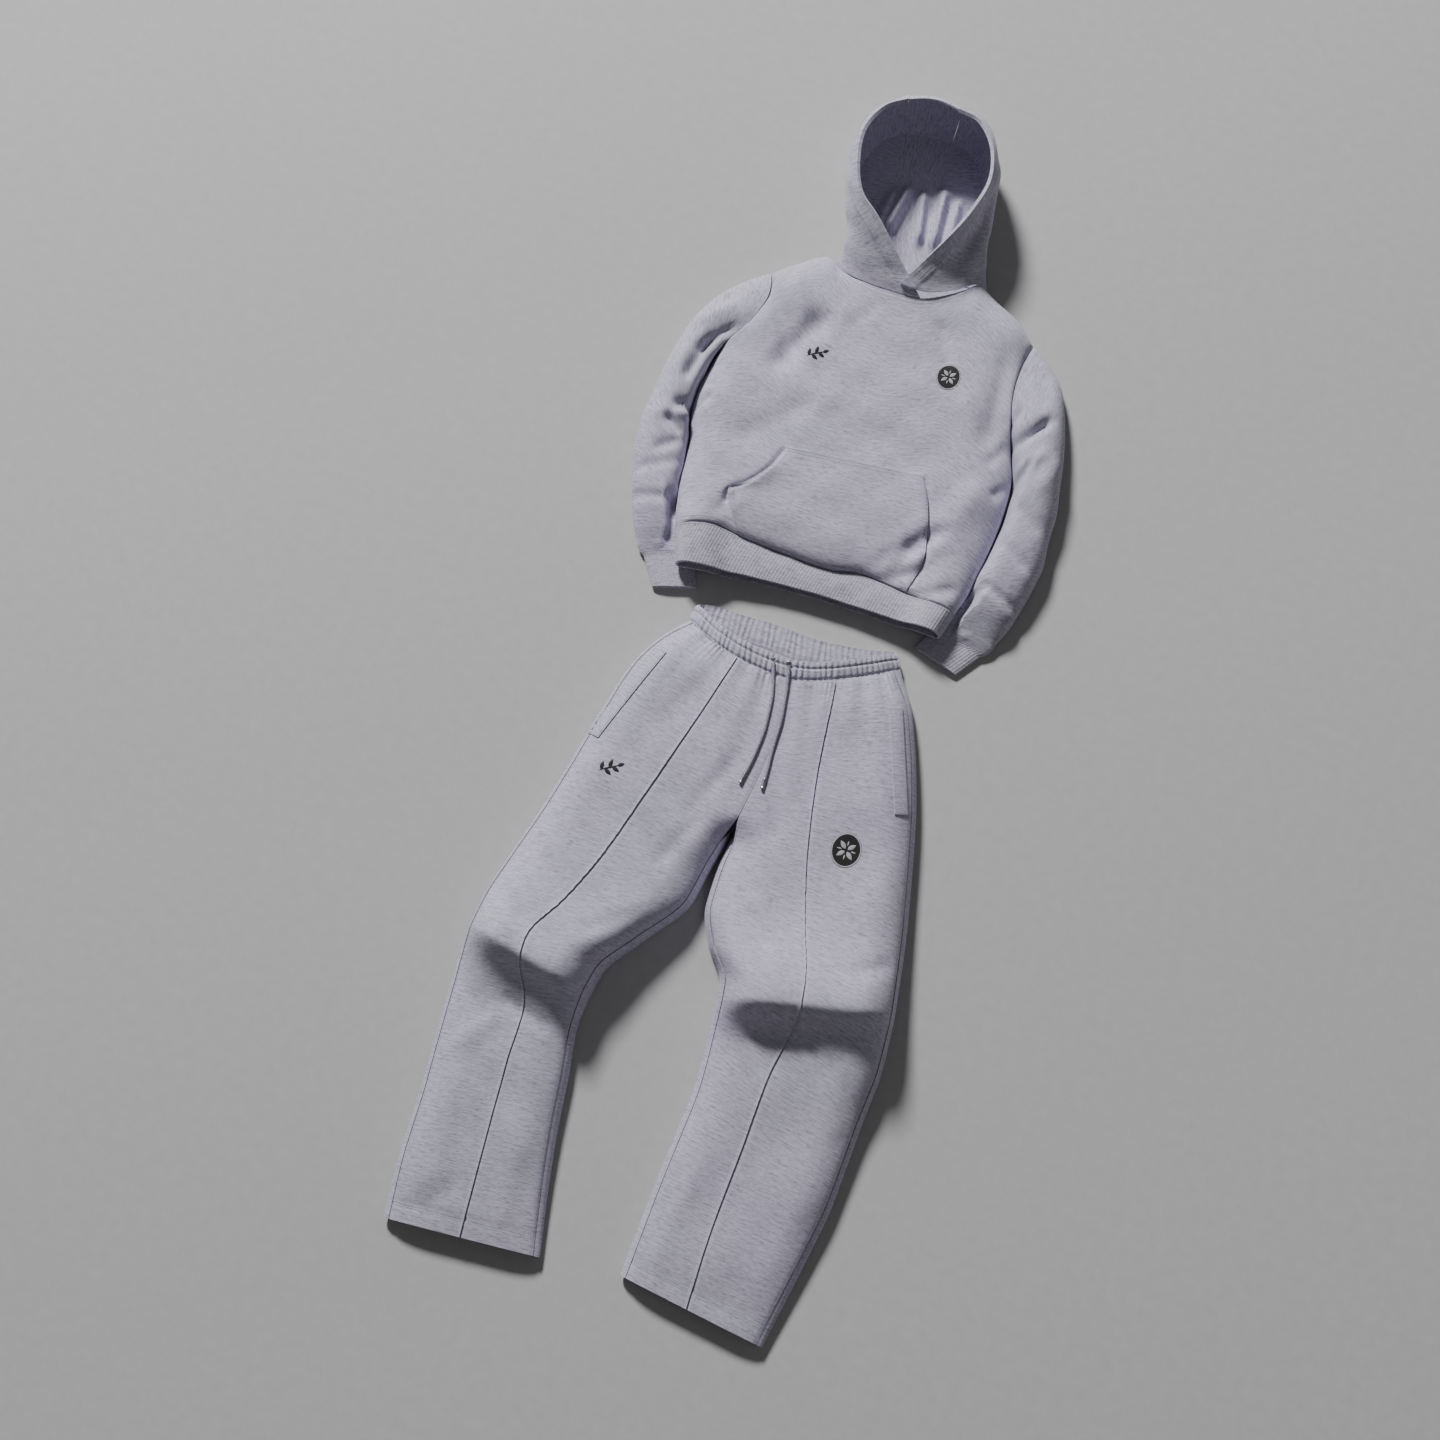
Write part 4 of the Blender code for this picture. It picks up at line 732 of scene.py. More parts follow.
def hood_side(table, front_shares, back_shares, lap):
    names = ("rim", "upper", "bulge", "floor", "seam")
    grid = skin(table, names, HOOD_ROWS, HOOD_COLUMNS)
    exact = neck_row(HOOD_COLUMNS, front_shares, back_shares)
    near_rim = np.clip(1 - np.linspace(0, 1, HOOD_COLUMNS) / 0.45, 0, 1)
    exact[:, 2] += lap * near_rim
    exact[:, 1] += lap * near_rim
    weight = np.linspace(0, 1, HOOD_ROWS)[:, None, None] ** 5
    grid += (exact - grid[-1])[None] * weight
    keep_above_floor(grid)
    return grid


def closed_through(points, at):
    """A closed smooth loop read at shares of its length, which may be below zero."""
    points = np.asarray(points, float)
    padded = np.concatenate([points[-3:], points, points[:4]])
    run = run_along(padded)
    start, end = run[3], run[3 + len(points)]
    wanted = start + (np.asarray(at, float) % 1.0) * (end - start)
    return through(padded, wanted / run[-1])


def loop_share(points, index):
    points = np.asarray(points, float)
    run = run_along(np.concatenate([points, points[:1]]))
    return run[index] / run[-1]


def loop_crossing(points, x, low, high):
    """The share of a loop, between two others, at which it crosses a place in X."""
    at = np.linspace(low, high, 400)
    found = closed_through(points, at)[:, 0]
    return float(at[np.argmin(np.abs(found - x))])


def leg_rows(table):
    at = np.linspace(0, len(table["height"]) - 1, LEG_ROWS)
    at = np.where(at < 4, 4 * (at / 4) ** 1.1, at)
    rows = {key: smooth(np.arange(len(values)), values, at) for key, values in table.items()}
    outer = np.column_stack([rows["outer_x"], rows["outer_y"]])
    inner = np.column_stack([rows["inner_x"], rows["inner_y"]])
    closing = np.clip((CROTCH["starts"] - inner[:, 1]) / (CROTCH["starts"] - CROTCH["closed"]), 0, 1)
    closing = closing * closing * (3 - 2 * closing)
    return outer, inner, rows["height"], closing


def tuck_distances(table, outer, inner):
    """How far from the outer edge the tuck crosses each section."""
    curve = line(table, np.linspace(0, 1, 300))
    found = []
    for start, end in zip(outer, inner):
        run = unit(end - start)
        aside = (curve - start) @ np.array([-run[1], run[0]])
        found.append((curve[np.argmin(np.abs(aside))] - start) @ run)
    return np.array(found)


def knee_rise(x, y, knee):
    outer, inner = np.array(knee["outer"], float), np.array(knee["inner"], float)
    run = unit(inner - outer)
    up = np.array([-run[1], run[0]])
    up = up * np.sign(up[1])
    towards_hip = (x - outer[0]) * up[0] + (y - outer[1]) * up[1]
    width = np.where(towards_hip > 0, knee["hip"], knee["foot"])
    return knee["rise"] * np.exp(-((np.abs(towards_hip) / width) ** 1.7))


def leg_top(plan, distance, width, height, closing, knee):
    """The height of a leg's upper side, by its distance from the outer edge."""
    edge = SIDE_SEAM_HEIGHT / height
    outer = edge + (1 - edge) * roll(distance, LEG_ROLL)
    inner = edge + (1 - edge) * roll(width - distance, LEG_ROLL)
    inner = inner * closing + 1 - closing
    rise = knee_rise(plan[..., 0], plan[..., 1], knee)
    sides = roll(distance, KNEE_ROLL) * (roll(width - distance, KNEE_ROLL) * closing + 1 - closing)
    return height * softest(outer, inner) + rise * sides


def leg_points(outer, inner, distance):
    run = unit(inner - outer)
    return outer[:, None] + run[:, None] * distance[..., None]


def towards_waist(grid, target, outer):
    """Draws a leg's upper rows to the waistband's lower edge."""
    fallen = (outer[0, 1] - outer[:, 1]) / WAIST_BLEND
    weight = np.clip(1 - fallen, 0, 1) ** 2
    return grid + (target - grid[0])[None] * weight[:, None, None]


def leg_front_grid(table, knee, tuck, shares, half):
    """The front of one leg. shares are its ends on the waistband, half its columns each side."""
    outer, inner, height, closing = leg_rows(table)
    width = np.linalg.norm(inner - outer, axis=1)
    first = np.full(len(width), SIDE_LAP)
    last = width - (SIDE_LAP * closing + SEAM_GAP * (1 - closing))
    middle = np.clip(tuck_distances(tuck, outer, inner), first + TUCK_CLEAR, last - TUCK_CLEAR)
    from_outer = np.linspace(0, 1, half) ** 1.1
    to_inner = 1 - from_outer[::-1]
    outer_part = first[:, None] + (middle - TUCK_WIDTH - first)[:, None] * from_outer
    inner_part = (middle + TUCK_WIDTH)[:, None] + (last - middle - TUCK_WIDTH)[:, None] * to_inner
    distance = np.concatenate([outer_part, middle[:, None], inner_part], axis=1)
    plan = leg_points(outer, inner, distance)
    z = leg_top(plan, distance, width[:, None], height[:, None], closing[:, None], knee)
    grid = np.dstack([plan, z])
    across = (distance[0] - distance[0, 0]) / (distance[0, -1] - distance[0, 0])
    target = closed_through(WAIST_BOTTOM, shares[0] + (shares[1] - shares[0]) * across)
    target[:, 1] -= WAIST_GAP
    return towards_waist(grid, target, outer)


def leg_back_grid(table, knee, shares):
    """The back of one leg, which wraps up over both sides to the seams on top."""
    outer, inner, height, closing = leg_rows(table)
    width = np.linalg.norm(inner - outer, axis=1)
    lap = SIDE_LAP - 2 * SEAM_GAP
    side = np.array([lap, 3.0, 0.0, 3.5, BACK_TURN])
    floor = np.linspace(0, 1, 7)[1:-1]
    shut = side[::-1]
    spread = np.array([BACK_TURN, 7.6, 5.2, 2.8, SEAM_GAP])
    from_inner = shut[None] * closing[:, None] + spread[None] * (1 - closing[:, None])
    distance = np.concatenate(
        [
            np.repeat(side[None], len(width), axis=0),
            BACK_TURN + (width - 2 * BACK_TURN)[:, None] * floor,
            width[:, None] - from_inner,
        ],
        axis=1,
    )
    plan = leg_points(outer, inner, distance)
    top = leg_top(plan, distance, width[:, None], height[:, None], closing[:, None], knee)
    z = np.zeros_like(top)
    z[:, :2] = top[:, :2]
    z[:, 2] = SIDE_SEAM_HEIGHT
    z[:, 3] = 2.0
    closed = np.column_stack([0 * width, 2 + 0 * width, SIDE_SEAM_HEIGHT + 0 * width, top[:, -2], top[:, -1]])
    z[:, -5:] = closed * closing[:, None]
    grid = np.dstack([plan, z])
    seam, edge, centre = shares
    step = np.sign(edge - seam)
    near_side = [seam + step * 0.0008, (seam + edge) / 2, edge, edge + step * 0.012, edge + step * 0.026]
    far = centre - step * np.array([0.0145, 0.011, 0.0075, 0.004, 0.0004])
    between = near_side[-1] + (far[0] - near_side[-1]) * floor
    target = closed_through(WAIST_BOTTOM, np.concatenate([near_side, between, far]))
    target[:, 1] -= WAIST_GAP
    grid = towards_waist(grid, target, outer)
    keep_above_floor(grid)
    return grid


def uneven(x, y, seed, low=60.0, high=190.0):
    """A soft unevenness of cloth in plan, near 1 at its most."""
    chance = np.random.default_rng(seed)
    total = np.zeros_like(x)
    for _ in range(9):
        length = chance.uniform(low, high)
        turn = chance.uniform(0, 2 * np.pi)
        start = chance.uniform(0, 2 * np.pi)
        total += np.sin((x * np.cos(turn) + y * np.sin(turn)) * 2 * np.pi / length + start)
    return total / 3.6


def arc_places(grid, ring):
    """How far each point lies across and along the cloth, in metres."""
    closed = np.concatenate([grid, grid[:, :1]], axis=1) if ring else grid
    across = np.linalg.norm(np.diff(closed, axis=1), axis=2)
    along = np.linalg.norm(np.diff(closed, axis=0), axis=2)
    u = np.concatenate([np.zeros((len(grid), 1)), np.cumsum(across, axis=1)], axis=1)
    u -= u[:, -1:] / 2
    v = np.concatenate([np.zeros((1, closed.shape[1])), np.cumsum(along, axis=0)], axis=0)
    v = np.repeat(v.mean(axis=1, keepdims=True), closed.shape[1], axis=1)
    return np.dstack([u, v]) * MM


def shell_faces(rows, columns, ring):
    """Quads of both layers and of the rims, with the place in the grid of each corner."""
    last = columns if ring else columns - 1
    i, j = (a.ravel() for a in np.meshgrid(np.arange(rows - 1), np.arange(last), indexing="ij"))
    corners = [(0, i, j), (0, i, j + 1), (0, i + 1, j + 1), (0, i + 1, j)]
    sets = [corners, [(1, *c[1:]) for c in corners[::-1]]]
    j = np.arange(last)
    top, end = np.zeros_like(j), np.full_like(j, rows - 1)
    sets.append([(0, top, j + 1), (0, top, j), (1, top, j), (1, top, j + 1)])
    sets.append([(0, end, j), (0, end, j + 1), (1, end, j + 1), (1, end, j)])
    if not ring:
        i = np.arange(rows - 1)
        left, right = np.zeros_like(i), np.full_like(i, columns - 1)
        sets.append([(0, i, left), (0, i + 1, left), (1, i + 1, left), (1, i, left)])
        sets.append([(0, i + 1, right), (0, i, right), (1, i, right), (1, i + 1, right)])
    quads, places = [], []
    for four in sets:
        quads.append(np.stack([c[0] * rows * columns + c[1] * columns + c[2] % columns for c in four], 1))
        places.append(np.stack([np.stack([c[1], c[2]], -1) for c in four], 1))
    return np.concatenate(quads), np.concatenate(places)


def piece_of(name, points, faces, finish, uv=None, smooth_angle=50.0):
    mesh = bpy.data.meshes.new(name)
    mesh.from_pydata((np.asarray(points) * MM).tolist(), [], np.asarray(faces).tolist())
    if uv is not None:
        layer = mesh.uv_layers.new(name="cloth")
        layer.data.foreach_set("uv", uv.astype(np.float32).ravel())
    mesh.update()
    mesh.shade_smooth()
    mesh.set_sharp_from_angle(angle=math.radians(smooth_angle))
    made = bpy.data.objects.new(name, mesh)
    bpy.context.scene.collection.objects.link(made)
    mesh.materials.append(finish)
    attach(made, "root")
    return made


PANELS = {}


def cloth(name, outer, thickness, at, finish, slot, ring=False, inner=None, cuts=None, edge=0.9):
    """A fine panel or tube of cloth with rounded rims, in place of the plain solid of its name."""
    if inner is None:
        inner = moved_in(outer, thickness, ring, cuts or {})
    rows, columns = outer.shape[:2]
    quads, places = shell_faces(rows, columns, ring)
    spots = arc_places(outer, ring)
    uv = spots[places[..., 0], places[..., 1]]
    points = np.concatenate([outer.reshape(-1, 3), inner.reshape(-1, 3)]) + at
    keep_above_floor(points)
    made = piece_of(name + "_cloth", points, quads, finish, uv)
    bevel = made.modifiers.new("edge", "BEVEL")
    bevel.width = edge * MM
    bevel.segments = 2
    bevel.limit_method = "ANGLE"
    bevel.angle_limit = math.radians(55)
    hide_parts(name)
    PANELS[name] = (outer + at, made)


class Nodes:
    """A short way to lay out a material's nodes."""

    def __init__(self, name):
        self.made = bpy.data.materials.new(name)
        self.made.use_nodes = True
        self.tree = self.made.node_tree
        self.shader = self.tree.nodes["Principled BSDF"]

    def add(self, kind, inputs=None, **settings):
        node = self.tree.nodes.new(kind)
        for key, value in settings.items():
            setattr(node, key, value)
        for key, value in (inputs or {}).items():
            if isinstance(value, bpy.types.NodeSocket):
                self.tree.links.new(value, node.inputs[key])
            else:
                node.inputs[key].default_value = value
        return node

    def scaled(self, source, scale):
        node = self.add("ShaderNodeMapping", {"Vector": source})
        node.inputs["Scale"].default_value = scale
        return node.outputs[0]

    def noise(self, vector, scale, detail=3.0, rough=0.6):
        inputs = {"Vector": vector, "Scale": scale, "Detail": detail, "Roughness": rough}
        return self.add("ShaderNodeTexNoise", inputs).outputs["Fac"]

    def bands(self, vector, way, scale, distortion):
        inputs = {"Vector": vector, "Scale": scale, "Distortion": distortion, "Detail": 1.0}
        return self.add("ShaderNodeTexWave", inputs, bands_direction=way).outputs["Fac"]

    def ramp(self, value, stops):
        node = self.add("ShaderNodeValToRGB", {"Fac": value})
        while len(node.color_ramp.elements) < len(stops):
            node.color_ramp.elements.new(0.5)
        for element, (place, colour) in zip(node.color_ramp.elements, stops):
            element.position = place
            element.color = (*colour, 1)
        return node.outputs["Color"]

    def mix(self, share, first, second, blend="MIX"):
        node = self.add("ShaderNodeMix", data_type="RGBA", blend_type=blend)
        for socket, value in zip((node.inputs[0], node.inputs[6], node.inputs[7]), (share, first, second)):
            if isinstance(value, bpy.types.NodeSocket):
                self.tree.links.new(value, socket)
            elif isinstance(value, tuple):
                socket.default_value = (*value, 1)
            else:
                socket.default_value = value
        return node.outputs[2]

    def maths(self, kind, first, second):
        return self.add("ShaderNodeMath", {0: first, 1: second}, operation=kind).outputs[0]

    def finish(self, colour, heights, bump, **numbers):
        """heights are pairs of a height output and its depth in metres."""
        self.tree.links.new(colour, self.shader.inputs["Base Color"])
        normal = None
        for height, depth in heights:
            inputs = {"Height": height, "Distance": depth, "Strength": bump}
            if normal:
                inputs["Normal"] = normal
            normal = self.add("ShaderNodeBump", inputs).outputs["Normal"]
        if normal:
            self.tree.links.new(normal, self.shader.inputs["Normal"])
        for key, value in numbers.items():
            self.shader.inputs[key.replace("_", " ").capitalize()].default_value = value
        return self.made


def set_sheen(shader, weight, roughness, tint):
    shader.inputs["Sheen Weight"].default_value = weight
    shader.inputs["Sheen Roughness"].default_value = roughness
    shader.inputs["Sheen Tint"].default_value = (*tint, 1)


def marl(nodes, cloth, light, dark, streak=1.0):
    """Heathered yarn: short pale and dark streaks across the cloth, and single fibres."""
    streaks = nodes.noise(nodes.scaled(cloth, (120 * streak, 620, 1)), 1.0, 4.0, 0.65)
    long_ones = nodes.noise(nodes.scaled(cloth, (42 * streak, 330, 1)), 1.0, 3.0, 0.6)
    fibres = nodes.noise(nodes.scaled(cloth, (900, 1500, 1)), 1.0, 2.0, 0.7)
    both = nodes.maths("ADD", nodes.maths("MULTIPLY", streaks, 0.5), nodes.maths("MULTIPLY", long_ones, 0.38))
    total = nodes.maths("ADD", both, nodes.maths("MULTIPLY", fibres, 0.12))
    between = tuple(0.4 * a + 0.6 * b for a, b in zip(dark, light))
    return nodes.ramp(total, ((0.36, dark), (0.47, between), (0.58, light)))


def fleece_material():
    nodes = Nodes("marled_fleece")
    cloth = nodes.add("ShaderNodeUVMap", uv_map="cloth").outputs[0]
    place = nodes.add("ShaderNodeTexCoord").outputs["Object"]
    yarn = marl(nodes, cloth, FLEECE_LIGHT, FLEECE_DARK)
    patches = nodes.noise(place, 3.1, 2.0, 0.5)
    cast = nodes.ramp(patches, ((0.4, (0.97, 0.985, 0.98)), (0.62, (1.0, 0.985, 1.03))))
    colour = nodes.mix(1.0, yarn, cast, "MULTIPLY")
    wales = nodes.bands(cloth, "X", 210.0, 1.5)
    courses = nodes.bands(cloth, "Y", 150.0, 2.0)
    knit = nodes.maths("MULTIPLY", wales, courses)
    nap = nodes.noise(cloth, 1400.0, 3.0, 0.7)
    lumps = nodes.noise(nodes.scaled(cloth, (60, 180, 1)), 1.0, 3.0, 0.6)
    heights = ((lumps, 0.0006), (knit, 0.00022), (nap, 0.00025))
    made = nodes.finish(colour, heights, 0.55, Roughness=0.93)
    nodes.shader.inputs["Specular IOR Level"].default_value = 0.18
    set_sheen(nodes.shader, 0.22, 0.45, SHEEN_TINT)
    return made


def rib_material():
    nodes = Nodes("marled_rib")
    cloth = nodes.add("ShaderNodeUVMap", uv_map="cloth").outputs[0]
    yarn = marl(nodes, cloth, RIB_LIGHT, FLEECE_DARK, 1.4)
    ribs = nodes.bands(cloth, "X", 62.0, 0.3)
    # Painted shade: the rib's colour is made darker in the grooves between the ribs, where the bump sinks.
    shade = nodes.ramp(ribs, ((0.0, (0.9, 0.9, 0.91)), (0.5, (1.0, 1.0, 1.0))))
    colour = nodes.mix(1.0, yarn, shade, "MULTIPLY")
    nap = nodes.noise(cloth, 1400.0, 3.0, 0.7)
    made = nodes.finish(colour, ((ribs, 0.0005), (nap, 0.0002)), 0.6, Roughness=0.92)
    nodes.shader.inputs["Specular IOR Level"].default_value = 0.2
    set_sheen(nodes.shader, 0.2, 0.45, SHEEN_TINT)
    return made


def thread_material(name, colour, shine=0.35):
    nodes = Nodes(name)
    place = nodes.add("ShaderNodeTexCoord").outputs["Object"]
    twist = nodes.noise(place, 900.0, 2.0, 0.6)
    darker = tuple(c * 0.62 for c in colour)
    shade = nodes.ramp(twist, ((0.35, darker), (0.62, colour)))
    made = nodes.finish(shade, ((twist, 0.0003),), 0.5, Roughness=0.7)
    nodes.shader.inputs["Specular IOR Level"].default_value = shine
    set_sheen(nodes.shader, 0.15, 0.4, colour)
    return made


def cord_material():
    nodes = Nodes("braided_cord")
    place = nodes.add("ShaderNodeTexCoord").outputs["UV"]
    strands = []
    for way in (4, -4):
        inputs = {"Vector": nodes.scaled(place, (110, way, 1)), "Scale": 1.0}
        strands.append(nodes.add("ShaderNodeTexWave", inputs, bands_direction="DIAGONAL").outputs["Fac"])
    braid = nodes.maths("MAXIMUM", *strands)
    flecks = nodes.noise(nodes.add("ShaderNodeTexCoord").outputs["Object"], 500.0, 3.0, 0.6)
    yarn = nodes.ramp(flecks, ((0.38, FLEECE_DARK), (0.6, FLEECE_LIGHT)))
    # Painted shade: the cord's colour is made darker in the gaps between the braid's strands, where the bump
    # sinks.
    shade = nodes.ramp(braid, ((0.1, (0.6, 0.6, 0.62)), (0.7, (1.0, 1.0, 1.0))))
    made = nodes.finish(nodes.mix(1.0, yarn, shade, "MULTIPLY"), ((braid, 0.0006),), 0.7, Roughness=0.85)
    set_sheen(nodes.shader, 0.2, 0.4, (0.95, 0.95, 1.0))
    return made


def metal_material():
    nodes = Nodes("satin_metal")
    place = nodes.add("ShaderNodeTexCoord").outputs["Object"]
    worn = nodes.noise(place, 260.0, 4.0, 0.6)
    colour = nodes.ramp(worn, ((0.35, (0.36, 0.36, 0.38)), (0.65, (0.62, 0.62, 0.64))))
    made = nodes.finish(colour, ((worn, 0.0001),), 0.3, Metallic=1.0)
    rough = nodes.ramp(worn, ((0.3, (0.24,) * 3), (0.7, (0.42,) * 3)))
    nodes.tree.links.new(rough, nodes.shader.inputs["Roughness"])
    return made


def floor_material():
    nodes = Nodes("pale_floor")
    place = nodes.add("ShaderNodeTexCoord").outputs["Object"]
    grain = nodes.noise(place, 60.0, 4.0, 0.6)
    colour = nodes.ramp(grain, ((0.3, (0.5, 0.5, 0.5)), (0.7, (0.54, 0.54, 0.54))))
    return nodes.finish(colour, ((grain, 0.0002),), 0.3, Roughness=0.9)


def seam_dip(grid, distance, depth=1.2, reach=4.5):
    """Draws a panel's edge in where it is sewn to the next one."""
    inward = -normals_of(grid, False)
    return grid + inward * (depth * bump(distance, reach))[..., None]


def edge_run(grid, edge):
    """How far each point lies from one edge of its grid."""
    if edge in ("left", "right"):
        return edge_run(grid.transpose(1, 0, 2), "first" if edge == "left" else "last").T
    steps = np.linalg.norm(np.diff(grid, axis=0), axis=2)
    run = np.concatenate([np.zeros((1, grid.shape[1])), np.cumsum(steps, axis=0)])
    return run if edge == "first" else run[-1] - run


def relief(grid, table, seed, depth, reach=30.0, edges=("first", "last", "left", "right")):
    """Small folds and unevenness on a panel's upper side, none at its sewn edges."""
    x, y = grid[..., 0], grid[..., 1]
    hold = np.ones(x.shape)
    for edge in edges:
        hold = hold * off_edge(grid, edge, reach)
    amount = uneven(x, y, seed) * depth
    if table:
        amount = amount + folds(x, y, table)
    return grid + normals_of(grid, False) * (amount * hold)[..., None]


def torso(fleece):
    u, v = eased(FRONT_COLUMNS, 0.55), eased(FRONT_ROWS, 0.5)
    front = relief(body_front_grid(u, v), FRONT_CREASES, 3, 1.9)
    front[..., 2] -= pocket_groove(front)
    for edge, depth in (("first", 0.4), ("last", 0.9), ("left", 0.9), ("right", 0.9)):
        front = seam_dip(front, edge_run(front, edge), depth)
    body_panel("hoodie_front", front, u, v, (BELOW_RIGHT_ARM, BELOW_LEFT_ARM), fleece)
    u, v = eased(BACK_COLUMNS, 0.75), eased(BACK_ROWS, 0.5)
    back = body_back_grid(u, v)[:, ::-1]
    body_panel("hoodie_back", back, u, v, (BELOW_LEFT_ARM, BELOW_RIGHT_ARM), fleece)


def body_panel(name, grid, u, v, below_arms, fleece):
    """The front or the back, whose rims face up where their seams are level."""
    cuts = {
        "left": seam_facing(grid[:, 0], v < below_arms[0]),
        "right": seam_facing(grid[:, -1], v < below_arms[1]),
        "first": FACING_Y,
        "last": seam_facing(grid[-1], np.minimum(u, 1 - u) < SHOULDER_SHARE),
    }
    cloth(name, grid, FLEECE, HOODIE_AT, fleece, "fleece", cuts=cuts)


def pocket_groove(grid):
    """A trough under each edge of the pocket, so that its openings show as dark lines."""
    depth = np.zeros(grid.shape[:2])
    for side, sign, end, share in (("left", -1, 0.68, 1.0), ("right", 1, 0.93, 0.6)):
        edge = through(side_of(POCKET, side), np.linspace(0.03, end, 160))
        distance = np.linalg.norm(grid[..., None, :2] - edge, axis=-1)
        beyond = sign * (grid[..., 0] - edge[distance.argmin(axis=-1), 0])
        near = distance.min(axis=-1) - 0.5 * np.clip(beyond, 0, 5)
        depth = np.maximum(depth, share * POUCH_GROOVE * bump(near, GROOVE_WIDTH))
    return depth


def hem_band(rib):
    u = eased(HEM_COLUMNS, 0.6)
    lowest_rows = np.array([0, 0.02])
    front = body_front_grid(u, lowest_rows)[0]
    back = body_back_grid(u, lowest_rows)[0]
    edge = line(HEM_EDGE, u)
    rows = []
    for share in np.linspace(1, 0, HEM_ROWS):
        plan = (front[:, :2] + (0, -2 * SEAM_GAP)) * (1 - share) + edge * share
        narrowing = 3 * share * np.sqrt(np.sin(np.pi * u))
        swell = 1.6 * np.sin(np.pi * share) + 0.5 * uneven(plan[:, 0], plan[:, 1], 8, 30, 80)
        front_row = np.column_stack([plan, front[:, 2] - narrowing + swell * np.sin(np.pi * u) ** 0.3])
        back_row = np.column_stack([plan, back[:, 2]])
        rows.append(np.concatenate([front_row, back_row[1:-1][::-1]]))
    cuts = {"first": FACING_Y, "last": FACING_Y}
    cloth("hem_band", np.array(rows), RIB, HOODIE_AT, rib, "rib", ring=True, cuts=cuts, edge=1.3)


def arm_relief(grid, table, seed, depth, sign):
    """Creases over the top of a sleeve, and a soft unevenness all round it."""
    normal = normals_of(grid, True) * sign
    x, y, z = grid[..., 0], grid[..., 1], grid[..., 2]
    along = np.linspace(0, 1, len(grid))[:, None]
    hold = np.sin(np.pi * np.clip(along, 0.01, 0.99)) ** 0.35 * np.clip(z / 12, 0, 1)
    amount = uneven(x, y, seed, 45, 130) * depth + folds(x, y, table) * np.clip(normal[..., 2] + 0.2, 0, 1)
    return grid + normal * (amount * hold)[..., None]


def arms(fleece, rib):
    arm_rows = (
        ("right", SLEEVE_RIGHT, CUFF_RIGHT, BODY_RIGHT, UNDERARM_RIGHT_Y, -1, CREASES_RIGHT_ARM),
        ("left", SLEEVE_LEFT, CUFF_LEFT, BODY_LEFT, UNDERARM_LEFT_Y, 1, CREASES_LEFT_ARM),
    )
    for name, table, ends, side, underarm, sign, creases in arm_rows:
        grid = sleeve_grid(table, side, underarm, sign, SLEEVE_ROWS, SLEEVE_COLUMNS)
        grid = arm_relief(grid, creases, 20 + sign, 1.5, -sign)
        seam, edge = (off_arm(ends["inner"][k], ends["outer"][k], -sign) for k in (0, 1))
        cuff = steady(cuff_grid(ends, grid[-1], seam, side, sign, SLEEVE_COLUMNS), CUFF_ROWS)
        grid, cuff = gathered_end(grid), narrowed(cuff)
        across = beside(grid[0])
        first, last = "first", "last"
        if sign > 0:
            grid, cuff = grid[::-1], cuff[::-1]
            first, last = "last", "first"
        cuts = {last: seam, first: across}
        cloth("sleeve_" + name, grid, FLEECE, HOODIE_AT, fleece, "fleece", ring=True, cuts=cuts)
        cuts = {first: seam, last: edge}
        cloth("cuff_" + name, cuff, RIB, HOODIE_AT, rib, "rib", ring=True, cuts=cuts, edge=1.2)


def gathered_end(grid):
    """The sleeve's end swells over its seam with the cuff."""
    away = edge_run(grid, "last")
    swell = 2.6 * bump(away - 11, 8) * np.clip(grid[..., 2] / 9, 0, 1)
    middle = grid.mean(axis=1, keepdims=True)
    out = unit((grid - middle) * (1, 1, 0.4))
    return grid + out * swell[..., None]


def narrowed(cuff):
    """The cuff draws in just past its seam."""
    down = edge_run(cuff, "first").mean(axis=1)[:, None, None]
    middle = cuff.mean(axis=1, keepdims=True) * (1, 1, 0)
    share = 1 - 0.085 * (1 - bump(down, 3.5))
    return middle + (cuff - middle) * share


def search_tree(*pieces):
    """A search tree over the faces of built pieces, in millimetres from the set's origin."""
    points, faces = [], []
    for made in pieces:
        start = len(points)
        points += [tuple(corner.co / MM) for corner in made.data.vertices]
        faces += [[start + k for k in face.vertices] for face in made.data.polygons]
    return BVHTree.FromPolygons(points, faces)


def tree_of(*names):
    return search_tree(*(PANELS[name][1] for name in names))


def top_of(tree, plan):
    """The height of a panel's upper side at each place of a plan."""
    heights = []
    for x, y in np.asarray(plan).reshape(-1, 2):
        hit = tree.ray_cast((x, y, 500.0), (0, 0, -1))[0]
        heights.append(hit.z if hit else 0.0)
    return np.array(heights).reshape(np.asarray(plan).shape[:-1])


